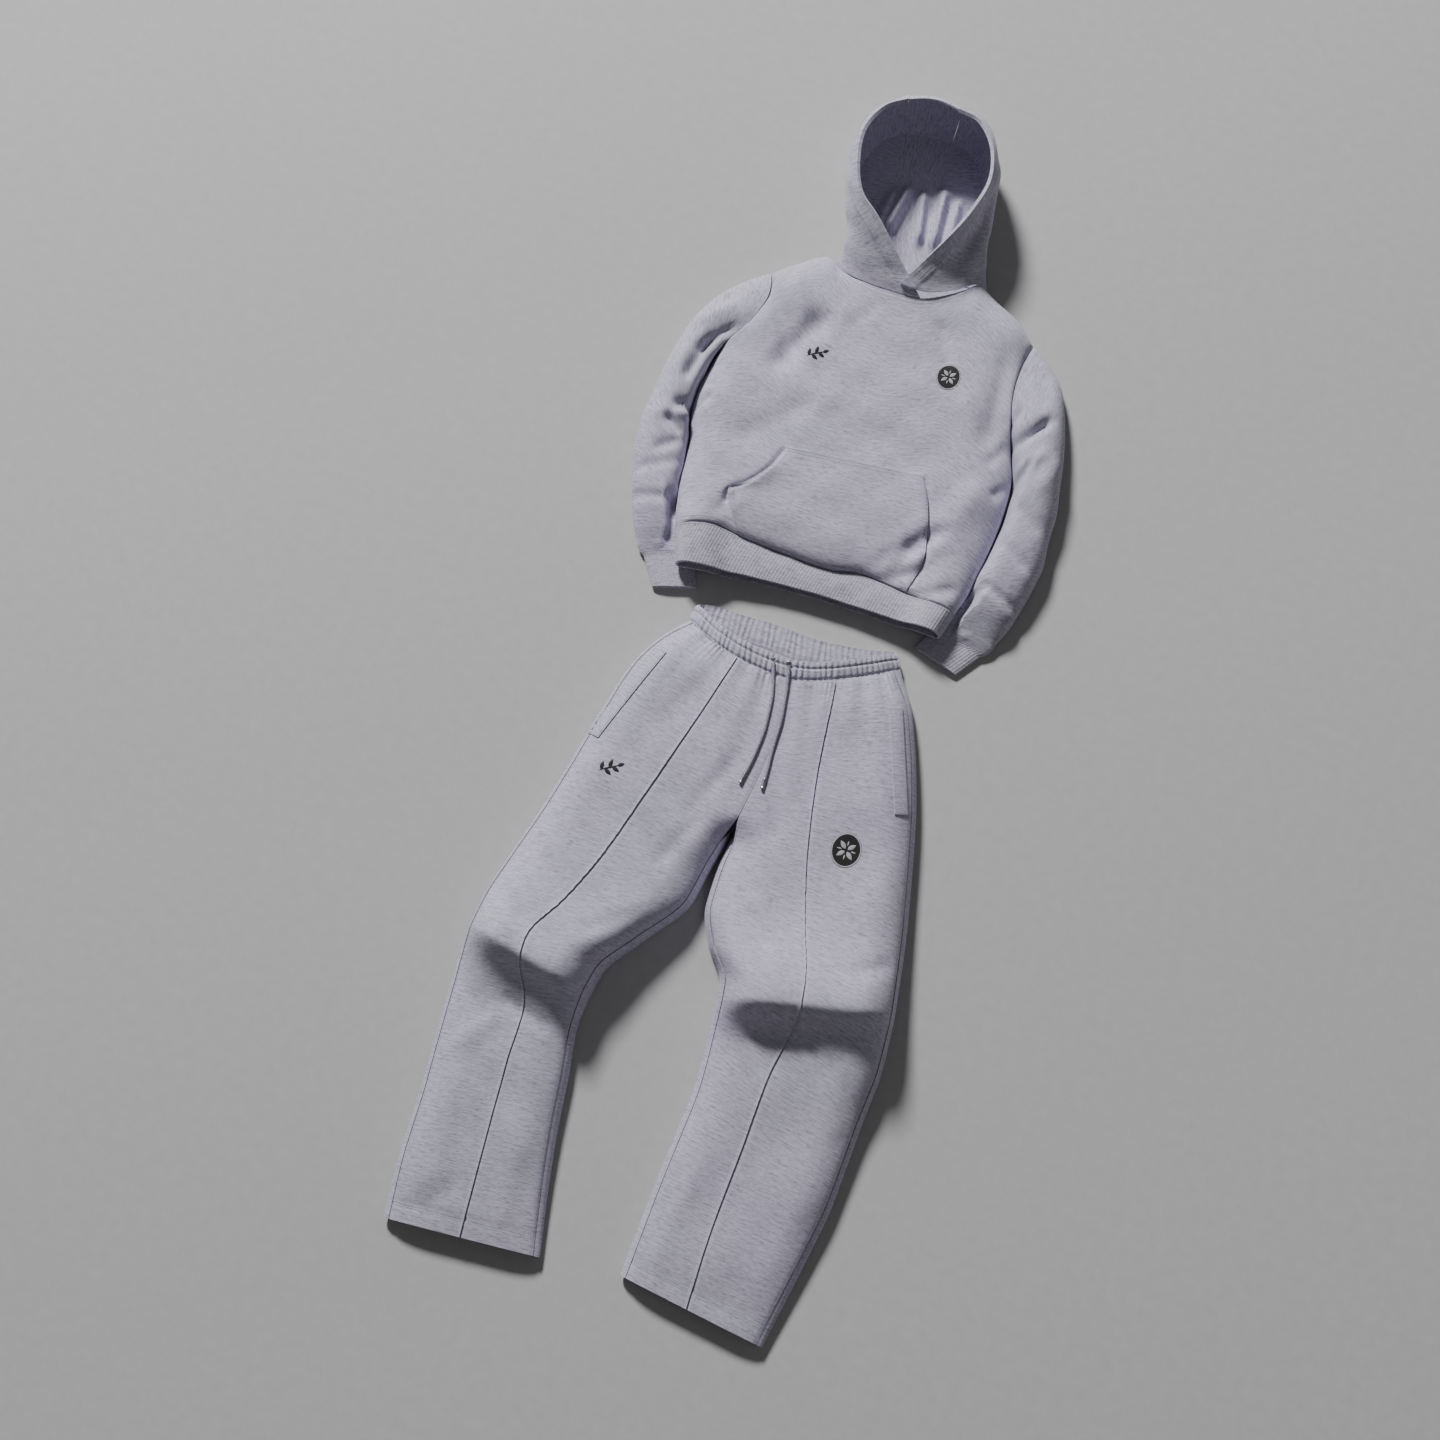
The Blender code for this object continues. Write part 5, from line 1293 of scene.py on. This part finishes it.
def pocket(fleece):
    rows = np.linspace(0, 1, POCKET_ROWS)
    left, right = (through(side_of(POCKET, side), rows) for side in ("left", "right"))
    share = eased(POCKET_COLUMNS, 0.4)[None, :, None]
    plan = left[::-1, None] * (1 - share) + right[::-1, None] * share
    hem = line(HEM_SEAM, np.linspace(0, 1, 200))
    base = np.interp(plan[0, :, 0], hem[:, 0], hem[:, 1]) + 1.5
    plan[..., 1] += (base - plan[0, :, 1])[None] * (1 - rows[:, None]) ** 2
    plan = plan + HOODIE_AT[:2]
    inner = np.dstack([plan, top_of(tree_of("hoodie_front"), plan) + 0.5])
    up = 1 - rows[:, None]
    near_left, near_right = (bump(edge_run(inner, side), 22) for side in ("left", "right"))
    mouth = np.clip((up - 0.06) / 0.3, 0, 1) * np.clip((0.97 - up) / 0.25, 0, 1)
    inner[..., 2] += 3.4 * (1.6 * near_left + near_right) * mouth[::-1]
    sewn = 1 - 0.6 * bump(edge_run(inner, "first"), 9)
    outer = inner + np.dstack([0 * sewn, 0 * sewn, (FLEECE - 0.3) * sewn])
    cloth("kangaroo_pocket", outer, FLEECE, np.zeros(3), fleece, "fleece", inner=inner, edge=1.0)


def hood(fleece):
    left = hood_side(HOOD_RIGHT, *HOOD_RIGHT_SHARES, 0.0)
    right = hood_side(HOOD_LEFT, *HOOD_LEFT_SHARES, HOOD_LAP)
    left_edge = np.concatenate([left[0], left[1:, -1]])
    right_edge = np.concatenate([right[0], right[1:, -1]])
    apart = unit(right_edge - left_edge) * HOOD_SEAM
    shares = np.linspace(0, 1, STRIP_COLUMNS)[:, None, None]
    strip = (left_edge + apart)[None] * (1 - shares) + (right_edge - apart)[None] * shares
    crown = np.clip(1 - np.arange(strip.shape[1]) / HOOD_COLUMNS, 0, 1) ** 0.5
    strip[..., 1] += CROWN_BULGE * np.sin(np.pi * shares[..., 0]) * crown
    for grid, seed, sign in ((left, 31, 1.0), (right, 32, -1.0)):
        slack(grid, seed, sign)
    sideways, downwards = (1, 0, 0), (0, 1, 0)
    side_cuts = {"first": sideways, "right": sideways, "last": downwards}
    hood_wall("hood_right", left, side_cuts, fleece, "left")
    side_cuts = {"first": sideways, "left": sideways, "last": downwards}
    hood_wall("hood_left", right[:, ::-1], side_cuts, fleece, "right")
    strip_cuts = {"first": sideways, "last": sideways, "right": downwards}
    strip = strip[::-1]
    inner = pleated(moved_in(strip, HOOD_CLOTH, False, strip_cuts), strip)
    cloth("hood_centre", strip, HOOD_CLOTH, HOODIE_AT, fleece, "fleece", inner=inner)


def slack(grid, seed, sign):
    """Bends a side of the hood softly in and out, except at its rim, its neck and its floor."""
    x, y, z = grid[..., 0], grid[..., 1], grid[..., 2]
    amount = uneven(x, y + 0.7 * z, seed, 50, 120) * 1.6 * np.clip(z / 20, 0, 1)
    amount *= off_edge(grid, "left", 14)
    amount *= off_edge(grid, "last", 30)
    grid += normals_of(grid, False) * (sign * amount)[..., None]


def hood_wall(name, outer, cuts, fleece, rim):
    """A side of the hood, with its rim folded over into a thicker edge, and pleats on its floor."""
    inner = moved_in(outer, HOOD_CLOTH, False, cuts)
    out = unit(outer - inner)
    from_rim = edge_run(outer, rim)
    fold = 1 / (1 + np.exp((from_rim - RIM_FOLD) / 0.9))
    outer = outer + out * (1.1 * fold)[..., None]
    inner = inner - out * (1.3 * fold)[..., None]
    inner = pleated(inner, outer)
    cloth(name, outer, HOOD_CLOTH, HOODIE_AT, fleece, "fleece", inner=inner, edge=1.4)


def pleated(inner, outer):
    """Raises the pleats of the hood's floor on the inner side of a wall."""
    x, y = inner[..., 0], inner[..., 1]
    floor = np.clip(1 - outer[..., 2] / 16, 0, 1)
    pleats = np.maximum(folds(x, y, HOOD_PLEATS), 0) * floor
    return inner + np.dstack([0 * x, 0 * x, pleats])


def leg_sides():
    """Each leg's tables, and the shares of the waistband's loop at which its panels meet it."""
    seam_right = loop_share(WAIST_BOTTOM, RIGHT_SEAM)
    seam_left = loop_share(WAIST_BOTTOM, LEFT_SEAM)
    side_left = loop_share(WAIST_BOTTOM, LEFT_SIDE)
    front_centre = loop_crossing(WAIST_BOTTOM, CENTRE_SEAM_X, seam_right, seam_left)
    back_centre = loop_crossing(WAIST_BOTTOM, CENTRE_SEAM_X, side_left, 1.0)
    right = (LEG_RIGHT, KNEE_RIGHT, TUCK_RIGHT, (seam_right, 0.0), back_centre - 1.0, False, RIGHT_LEG_FOLDS)
    left = (LEG_LEFT, KNEE_LEFT, TUCK_LEFT, (seam_left, side_left), back_centre, True, LEFT_LEG_FOLDS)
    return front_centre, (("right", *right), ("left", *left))


def puckers(grid, seed):
    """Gathers that run down from the waistband and fade."""
    down = edge_run(grid, "first")
    across = edge_run(grid[:1], "left")[0]
    chance = np.random.default_rng(seed)
    near = np.sin(across * 2 * np.pi / 8.5 + 2.4 * np.sin(across / 17))
    near *= 0.25 + 1.3 * np.clip(np.sin(across / 14.5 + seed), 0, 1) ** 2
    wide = np.sin(across * 2 * np.pi / 33 + 1.2 * np.sin(across / 40) + chance.uniform(0, 6)) * 1.5
    fade = np.exp(-((down / 24) ** 1.2)), np.exp(-((down / 85) ** 1.5))
    return near[None] * fade[0] + wide[None] * fade[1]


def legs(fleece):
    front_centre, sides = leg_sides()
    half = TUCK_SIDE_COLUMNS
    for name, table, knee, tuck, (seam, edge), centre, turned, creases in sides:
        outer_edge, inner_edge = leg_rows(table)[:2]
        across = unit(np.column_stack([inner_edge - outer_edge, np.zeros(LEG_ROWS)]))
        cuts = {"left": across, "right": across, "first": FACING_Y, "last": FACING_Y}
        plain = leg_front_grid(table, knee, tuck, (seam, front_centre), half)
        plain = plain if turned else plain[:, ::-1]
        plain = relief(plain, creases, 40 + turned, 1.7, 26.0, ("last", "left", "right"))
        grid = tucked(plain, half, across[:, :2] * (-1 if turned else 1))
        held = off_edge(plain, "left", 9) * off_edge(plain, "right", 9)
        lumps = puckers(plain, 50 + turned) * held
        grid[..., 2] += lumps
        plain[..., 2] += lumps
        grid[..., 2] -= HEM_DIP * bump(edge_run(plain, "last") - HEM_TURN, 2.8)
        for side in ("left", "right", "first"):
            grid = seam_dip(grid, edge_run(grid, side), 0.9)
        inner = moved_in(plain, FLEECE, False, cuts)
        cloth("trouser_front_" + name, grid, FLEECE, TROUSERS_AT, fleece, "fleece", inner=inner)
        back = leg_back_grid(table, knee, (seam, edge, centre))
        back = smooth_columns(back[:, ::-1] if turned else back, BACK_LEG_COLUMNS_EACH)
        cloth("trouser_back_" + name, back, FLEECE, TROUSERS_AT, fleece, "fleece", cuts=cuts)


def tucked(plain, half, lean):
    """The sewn tuck: a lip that leans over a groove, down the middle of a leg's front."""
    rise, aside, sunk = TUCK_LIP
    grid = plain.copy()
    grid[:, half, 2] += rise
    grid[:, half, :2] += lean * aside
    grid[:, half - 1, 2] -= sunk
    grid[:, half - 1, :2] -= lean * 0.8
    grid[:, half - 2, 2] -= sunk * 0.25
    return grid


def smooth_columns(grid, times):
    """The same surface with more columns, and none of it below the floor."""
    count = (grid.shape[1] - 1) * times + 1
    made = steady(grid.transpose(1, 0, 2), count).transpose(1, 0, 2)
    keep_above_floor(made)
    return made


def waistband(rib):
    """The elastic band: full gathers between its rows of stitching."""
    count = GATHERS * POINTS_PER_GATHER
    at = np.arange(count) / count
    turns = at * 2 * np.pi
    shares = np.linspace(0, 1, WAIST_ROWS)[:, None]
    lower, upper = (closed_through(points, at)[None] for points in (WAIST_BOTTOM, WAIST_TOP))
    base = lower * (1 - shares[..., None]) + upper * shares[..., None]
    keep_above_floor(base)
    inward = -normals_of(base, True)
    inward[:, :, 1] *= 0.0
    inward = unit(inward)
    drift = 0.55 * np.sin(turns * 9) + 0.35 * np.sin(turns * 23 + 1)
    lean = 0.9 * np.sin(turns * 13)[None] * (shares - 0.5)
    wave = (0.5 + 0.5 * np.cos((turns * GATHERS + drift)[None] + lean * 2)) ** 0.8
    size = 0.7 + 0.3 * np.sin(turns * 17 + 2)[None]
    sewn = np.clip(sum(bump(shares - row, 0.055) for row in BAND_STITCHES), 0, 1)
    ends = bump(shares, 0.07) + bump(1 - shares, 0.05)
    height = GATHER_DEPTH * 1.45 * wave * size * (1 - 0.62 * sewn) * (1 - 0.4 * ends)
    height = height + 1.2 * np.sin(np.pi * shares) - 1.7 * sewn
    outer = base + inward * (GATHER_DEPTH * 1.05 - height)[..., None]
    keep_above_floor(outer)
    inner_wave = 1.9 * wave * size * (1 - 0.5 * sewn) * (1 - 0.5 * ends)
    sewn_end = 1 - 0.4 * bump(shares, 0.16)
    inner = base + inward * ((GATHER_DEPTH + BAND_WALL + 0.3 - inner_wave) * sewn_end)[..., None]
    cloth("waistband", outer, RIB, TROUSERS_AT, rib, "rib", ring=True, inner=inner, edge=0.8)


def welts(fleece):
    """A sewn strip along each hip pocket's opening."""
    along = np.linspace(0, 1, WELT_ROWS)[:, None, None]
    across = np.linspace(-1, 1, WELT_COLUMNS)[None, :, None]
    for name, spec in (("right", WELT_RIGHT), ("left", WELT_LEFT)):
        top, bottom = np.array(spec["top"], float), np.array(spec["bottom"], float)
        run = bottom - top
        aside = unit(np.array([-run[1], run[0]])) * spec["width"] / 2
        if aside[0] < 0:
            aside = -aside
        plan = bottom * (1 - along) + top * along + aside * across + TROUSERS_AT[:2]
        tree = tree_of("trouser_front_" + name, "trouser_back_" + name)
        inner = np.dstack([plan, top_of(tree, plan) + 0.35])
        swell = np.sin(np.pi * np.linspace(0, 1, WELT_COLUMNS))[None] ** 0.5 * np.ones((WELT_ROWS, 1))
        outer = inner + np.dstack([0 * swell, 0 * swell, WELT_WALL - 0.3 + 0.5 * swell])
        cloth("pocket_welt_" + name, outer, WELT_WALL, np.zeros(3), fleece, "fleece", inner=inner, edge=0.8)


def on_grid(grid, rows, columns):
    """Points and upward normals at fractional rows and columns of a panel."""
    normal = unit(np.cross(np.gradient(grid, axis=1), np.gradient(grid, axis=0)))
    rows = np.clip(np.asarray(rows, float), 0, grid.shape[0] - 1.001)
    columns = np.clip(np.asarray(columns, float), 0, grid.shape[1] - 1.001)
    i, j = rows.astype(int), columns.astype(int)
    s, t = (rows - i)[:, None], (columns - j)[:, None]
    found = []
    for source in (grid, normal):
        found.append(
            source[i, j] * (1 - s) * (1 - t)
            + source[i, j + 1] * (1 - s) * t
            + source[i + 1, j] * s * (1 - t)
            + source[i + 1, j + 1] * s * t
        )
    return found[0], unit(found[1])


def inset(grid, edge, distance, low=0.0, high=1.0, count=240):
    """A run on a panel at a distance in from one of its edges, between two shares of it."""
    level = edge in ("first", "last")
    run = edge_run(grid, edge)
    run = run.T if level else run
    beside_it = np.linspace(low, high, count) * (len(run) - 1)
    inward = []
    for place in beside_it:
        distances = run[int(round(place))]
        order = np.argsort(distances)
        inward.append(np.interp(distance, distances[order], np.arange(len(distances))[order]))
    return on_grid(grid, inward, beside_it) if level else on_grid(grid, beside_it, inward)


class Stitches:
    """Rows of single stitches, gathered into one mesh."""

    def __init__(self):
        self.points, self.faces = [], []

    def row(self, run, pitch=3.6, length=2.5, width=0.75, sunk=0.15):
        points, normals = run
        steps = np.concatenate([[0], np.cumsum(np.linalg.norm(np.diff(points, axis=0), axis=1))])
        places = np.arange(pitch / 2, steps[-1], pitch)
        at = [np.column_stack([np.interp(places + d, steps, points[:, k]) for k in range(3)])
              for d in (-length / 2, 0, length / 2)]
        up = unit(np.column_stack([np.interp(places, steps, normals[:, k]) for k in range(3)]))
        run_way = unit(at[2] - at[0])
        side = unit(np.cross(up, run_way))
        half = width / 2
        for k in range(len(places)):
            start = len(self.points)
            ends = at[0][k] - up[k] * sunk, at[2][k] - up[k] * sunk
            rings = []
            for share, size in ((0.2, 0.8), (0.8, 0.8)):
                middle = at[0][k] * (1 - share) + at[2][k] * share + up[k] * (half - sunk)
                for turn in range(5):
                    angle = turn * 2 * math.pi / 5
                    spoke = side[k] * math.cos(angle) + up[k] * math.sin(angle)
                    rings.append(middle + spoke * half * size)
            self.points += [ends[0], *rings, ends[1]]
            for turn in range(5):
                a, b = start + 1 + turn, start + 1 + (turn + 1) % 5
                self.faces.append((start, b, a))
                self.faces.append((a, b, b + 5))
                self.faces.append((a, b + 5, a + 5))
                self.faces.append((start + 11, a + 5, b + 5))

    def build(self, name, finish):
        return piece_of(name, self.points, self.faces, finish, smooth_angle=80.0)


def hoodie_stitches(thread):
    made = Stitches()
    for name, *place in HOODIE_ROWS:
        made.row(inset(PANELS[name][0], *place))
    band = PANELS["hem_band"][0]
    made.row(inset(band[:, : band.shape[1] // 2 + 1], "last", 3.2, 0.01, 0.99))
    for name, rim, seam in (("hood_left", "right", "left"), ("hood_right", "left", "right")):
        side = PANELS[name][0]
        for distance in (5.5, RIM_FOLD - 2.6, RIM_FOLD - 8.5):
            made.row(inset(side, rim, distance, 0.0, 0.97))
        made.row(inset(side, seam, 3.0, 0.02, 0.95))
    return made.build("hoodie_stitching", thread)


def trouser_stitches(thread):
    made = Stitches()
    for name in ("right", "left"):
        front = PANELS["trouser_front_" + name][0]
        for distance in (HEM_TURN, HEM_TURN - 3.5):
            made.row(inset(front, "last", distance, 0.01, 0.99))
        for edge in ("left", "right"):
            made.row(inset(front, edge, 3.2, 0.02, 0.99, 500))
        rows = np.linspace(0.5, front.shape[0] - 1.5, 500)
        for shift in (-1.25, 1.25):
            made.row(on_grid(front, rows, np.full(500, TUCK_SIDE_COLUMNS + shift)), 3.6, 2.3, 0.55)
        welt = PANELS["pocket_welt_" + name][0]
        for edge in ("left", "right"):
            made.row(inset(welt, edge, 2.6, 0.01, 0.99))
        for edge in ("first", "last"):
            made.row(inset(welt, edge, 3.0, 0.1, 0.9, 40))
    band = PANELS["waistband"][0]
    closed = np.concatenate([band, band[:, :1]], axis=1)
    columns = np.linspace(0, band.shape[1], BAND_STITCH_POINTS)
    for share in BAND_STITCHES:
        rows = np.full(BAND_STITCH_POINTS, share * (band.shape[0] - 1))
        made.row(on_grid(closed, rows, columns), 3.2, 2.3, 0.7, 0.1)
    return made.build("trouser_stitching", thread)


def ring_mesh(centre, normal, inner, outer, rise, name, finish):
    """A small rounded ring that lies on the cloth."""
    normal = unit(np.asarray(normal, float))
    side = unit(np.cross(normal, (0.3, 1.0, 0.1)))
    other = np.cross(normal, side)
    turns = np.linspace(0, 2 * np.pi, RING_TURNS, endpoint=False)
    profile = np.linspace(0, 2 * np.pi, RING_SIDES, endpoint=False)
    middle, half = (inner + outer) / 2, (outer - inner) / 2
    points, faces = [], []
    for turn in turns:
        spoke = side * np.cos(turn) + other * np.sin(turn)
        for angle in profile:
            points.append(centre + spoke * (middle + half * np.cos(angle)) + normal * rise * np.sin(angle))
    for i in range(RING_TURNS):
        for j in range(RING_SIDES):
            a, b = i * RING_SIDES, (i + 1) % RING_TURNS * RING_SIDES
            m = (j + 1) % RING_SIDES
            faces.append((a + j, b + j, b + m, a + m))
    return piece_of(name, points, faces, finish)


def eyelets(metal):
    """A ring in the waistband's front where each cord comes out."""
    tree = tree_of("waistband")
    for name, route in (("right", CORD_RIGHT_ROUTE), ("left", CORD_LEFT_ROUTE)):
        x, y = route[0][0] / MM - 0.5, route[0][1] / MM + 3.5
        hit, normal = tree.ray_cast((x, y, 500.0), (0, 0, -1))[:2]
        if hit:
            tilt = unit(np.array(normal) * (0.3, 0.3, 1))
            ring_mesh(np.array(hit) + (0, 0, 1.1), tilt, 2.4, 4.6, 0.9, "eyelet_" + name, metal)


def cord(name, route, finish):
    curve = bpy.data.curves.new(name, "CURVE")
    curve.dimensions = "3D"
    curve.bevel_depth = CORD_DIAMETER / 2 * MM
    curve.bevel_resolution = 5
    curve.use_fill_caps = True
    spline = curve.splines.new("POLY")
    fine = through(np.array(route), np.linspace(0, 1, 90))
    spline.points.add(len(fine) - 1)
    for point, place in zip(spline.points, fine):
        point.co = (*place, 1)
    made = bpy.data.objects.new(name + "_cloth", curve)
    bpy.context.scene.collection.objects.link(made)
    curve.materials.append(finish)
    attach(made, "root")
    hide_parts(name)
    return made


def draped_patch(tree, plan, rise):
    """A small closed patch of embroidery over a plan, crowned in its middle."""
    base = top_of(tree, plan)
    down, over = (np.sin(np.pi * np.linspace(0, 1, count)) ** 0.5 for count in plan.shape[:2])
    outer = np.dstack([plan, base + 0.12 + rise * down[:, None] * over[None]])
    inner = np.dstack([plan, base - 0.5])
    return outer, inner


class Embroidery:
    """Satin-stitched patches of one thread colour, gathered into one mesh."""

    def __init__(self, tree):
        self.tree = tree
        self.points, self.faces = [], []

    def patch(self, plan, rise=0.7):
        plan = np.asarray(plan)
        turn = np.cross(plan[0, -1] - plan[0, 0], plan[-1, 0] - plan[0, 0])
        if turn < 0:
            plan = plan[:, ::-1]
        outer, inner = draped_patch(self.tree, plan, rise)
        quads = shell_faces(*plan.shape[:2], False)[0]
        start = len(self.points)
        self.points += [*outer.reshape(-1, 3), *inner.reshape(-1, 3)]
        self.faces += (quads + start).tolist()

    def leaf(self, start, turn, length, width, rise=0.7):
        t = np.linspace(0, 1, 14)[:, None]
        s = np.linspace(-1, 1, 9)[None, :]
        half = width / 2 * np.maximum(np.sin(np.pi * t ** 0.85), 0.04) ** 0.8
        along, aside = t * length + 0 * s, half * s
        cos, sin = math.cos(turn), math.sin(turn)
        x = start[0] + along * cos - aside * sin
        y = start[1] + along * sin + aside * cos
        self.patch(np.dstack([x, y]), rise)

    def arc(self, centre, radius, width, low, high, rise=0.5, squash=1.0):
        angle = np.linspace(low, high, max(8, int((high - low) * 12)))[:, None]
        r = radius + width * np.linspace(-0.5, 0.5, 7)[None]
        self.patch(np.dstack([centre[0] + r * np.cos(angle), centre[1] + r * np.sin(angle) * squash]), rise)

    def build(self, name, finish):
        return piece_of(name, self.points, self.faces, finish, smooth_angle=70.0)


def sprig(name, tree, centre, size, finish):
    """A small stem with five leaves."""
    made = Embroidery(tree)
    lean = 0.55
    x, y = centre[0] - size * 0.5, centre[1] - size * 0.32
    made.leaf((x, y), lean, size * 1.15, size * 0.085, 0.5)
    for along, turn, length in ((0.12, 1.65, 0.42), (0.3, -0.5, 0.42), (0.5, 1.5, 0.44), (0.66, -0.35, 0.4),
                                (0.9, 0.6, 0.34)):
        start = (x + along * size * math.cos(lean), y + along * size * math.sin(lean))
        made.leaf(start, turn, size * length, size * 0.19)
    return made.build(name, finish)


def badge(name, tree, centre, size, dark, light):
    """A dark disc with a pale rim, four petals and four small rays between them."""
    ground = Embroidery(tree)
    ground.arc(centre, size * 0.215, size * 0.43, 0, 2 * math.pi, 0.45, 1.18)
    made = ground.build(name + "_ground", dark)
    trim = Embroidery(search_tree(made))
    trim.arc(centre, size * 0.405, size * 0.035, 0, 2 * math.pi, 0.35, 1.18)
    petals = (math.pi / 4, 0.05, 0.26, 0.13, 0.5)
    rays = (0, 0.13, 0.15, 0.045, 0.4)
    for first, away, length, width, rise in (petals, rays):
        for k in range(4):
            turn = k * math.pi / 2 + first
            start = (centre[0] + size * away * math.cos(turn), centre[1] + size * away * math.sin(turn))
            trim.leaf(start, turn, size * length, size * width, rise)
    trim.build(name + "_trim", light)


def motifs(dark, light):
    chest = tree_of("hoodie_front")
    at = HOODIE_AT[:2]
    sprig("sprig_chest", chest, at + CHEST_MARK, 30.0, dark)
    badge("badge_chest", chest, at + CHEST_BADGE, 44.0, dark, light)
    at = TROUSERS_AT[:2]
    sprig("sprig_thigh", tree_of("trouser_front_right"), at + THIGH_MARK, 32.0, dark)
    badge("badge_thigh", tree_of("trouser_front_left"), at + THIGH_BADGE, 52.0, dark, light)


def light(name, place, size, power):
    lamp = bpy.data.lights.new(name, "AREA")
    lamp.shape = "DISK"
    lamp.size = size
    lamp.energy = power
    made = bpy.data.objects.new(name, lamp)
    made.location = place
    made.rotation_euler = (-Vector(place)).to_track_quat("-Z", "Y").to_euler()
    bpy.context.scene.collection.objects.link(made)


def studio():
    world = bpy.data.worlds.new("soft_room")
    bpy.context.scene.world = world
    world.use_nodes = True
    background = world.node_tree.nodes["Background"]
    background.inputs[0].default_value = (0.9, 0.9, 0.91, 1)
    background.inputs[1].default_value = 0.09
    for row in LIGHTS:
        light(*row)
    bpy.ops.mesh.primitive_plane_add(size=FLOOR_SIZE, location=(0, 0, -0.0006))
    floor = bpy.context.object
    floor.name = "floor"
    floor.data.materials.append(floor_material())
    floor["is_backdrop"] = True


def camera():
    lens = bpy.data.cameras.new("camera")
    lens.lens = 45.0
    lens.sensor_width = 36.0
    lens.clip_end = 50.0
    made = bpy.data.objects.new("camera", lens)
    bpy.context.scene.collection.objects.link(made)
    place, target = Vector(CAMERA_AT), Vector(CAMERA_AIM)
    back = (place - target).normalized()
    right = Vector((*CAMERA_UP, 0)).cross(back).normalized()
    up = back.cross(right)
    turn = Matrix((right, up, back)).transposed().to_4x4()
    made.matrix_world = Matrix.Translation(place) @ turn
    bpy.context.scene.camera = made


def main():
    camera()
    fleece, rib = fleece_material(), rib_material()
    metal = metal_material()
    braid = cord_material()
    for name, route in (("drawcord_right", CORD_RIGHT_ROUTE), ("drawcord_left", CORD_LEFT_ROUTE)):
        cord(name, route, braid)
    for name in ("aglet_left", "aglet_right"):
        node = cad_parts[name]
        node.data.materials.clear()
        node.data.materials.append(metal)
    torso(fleece)
    hem_band(rib)
    arms(fleece, rib)
    pocket(fleece)
    hood(fleece)
    legs(fleece)
    waistband(fleece)
    welts(fleece)
    thread = thread_material("grey_thread", THREAD)
    hoodie_stitches(thread)
    trouser_stitches(thread)
    eyelets(metal)
    motifs(thread_material("dark_thread", DARK_THREAD), thread_material("pale_thread", PALE_THREAD))
    studio()
    boxes = {"cad": CAD_BOX, "visual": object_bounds()}
    boxes = {name: [list(map(float, corner)) for corner in box] for name, box in boxes.items()}


main()
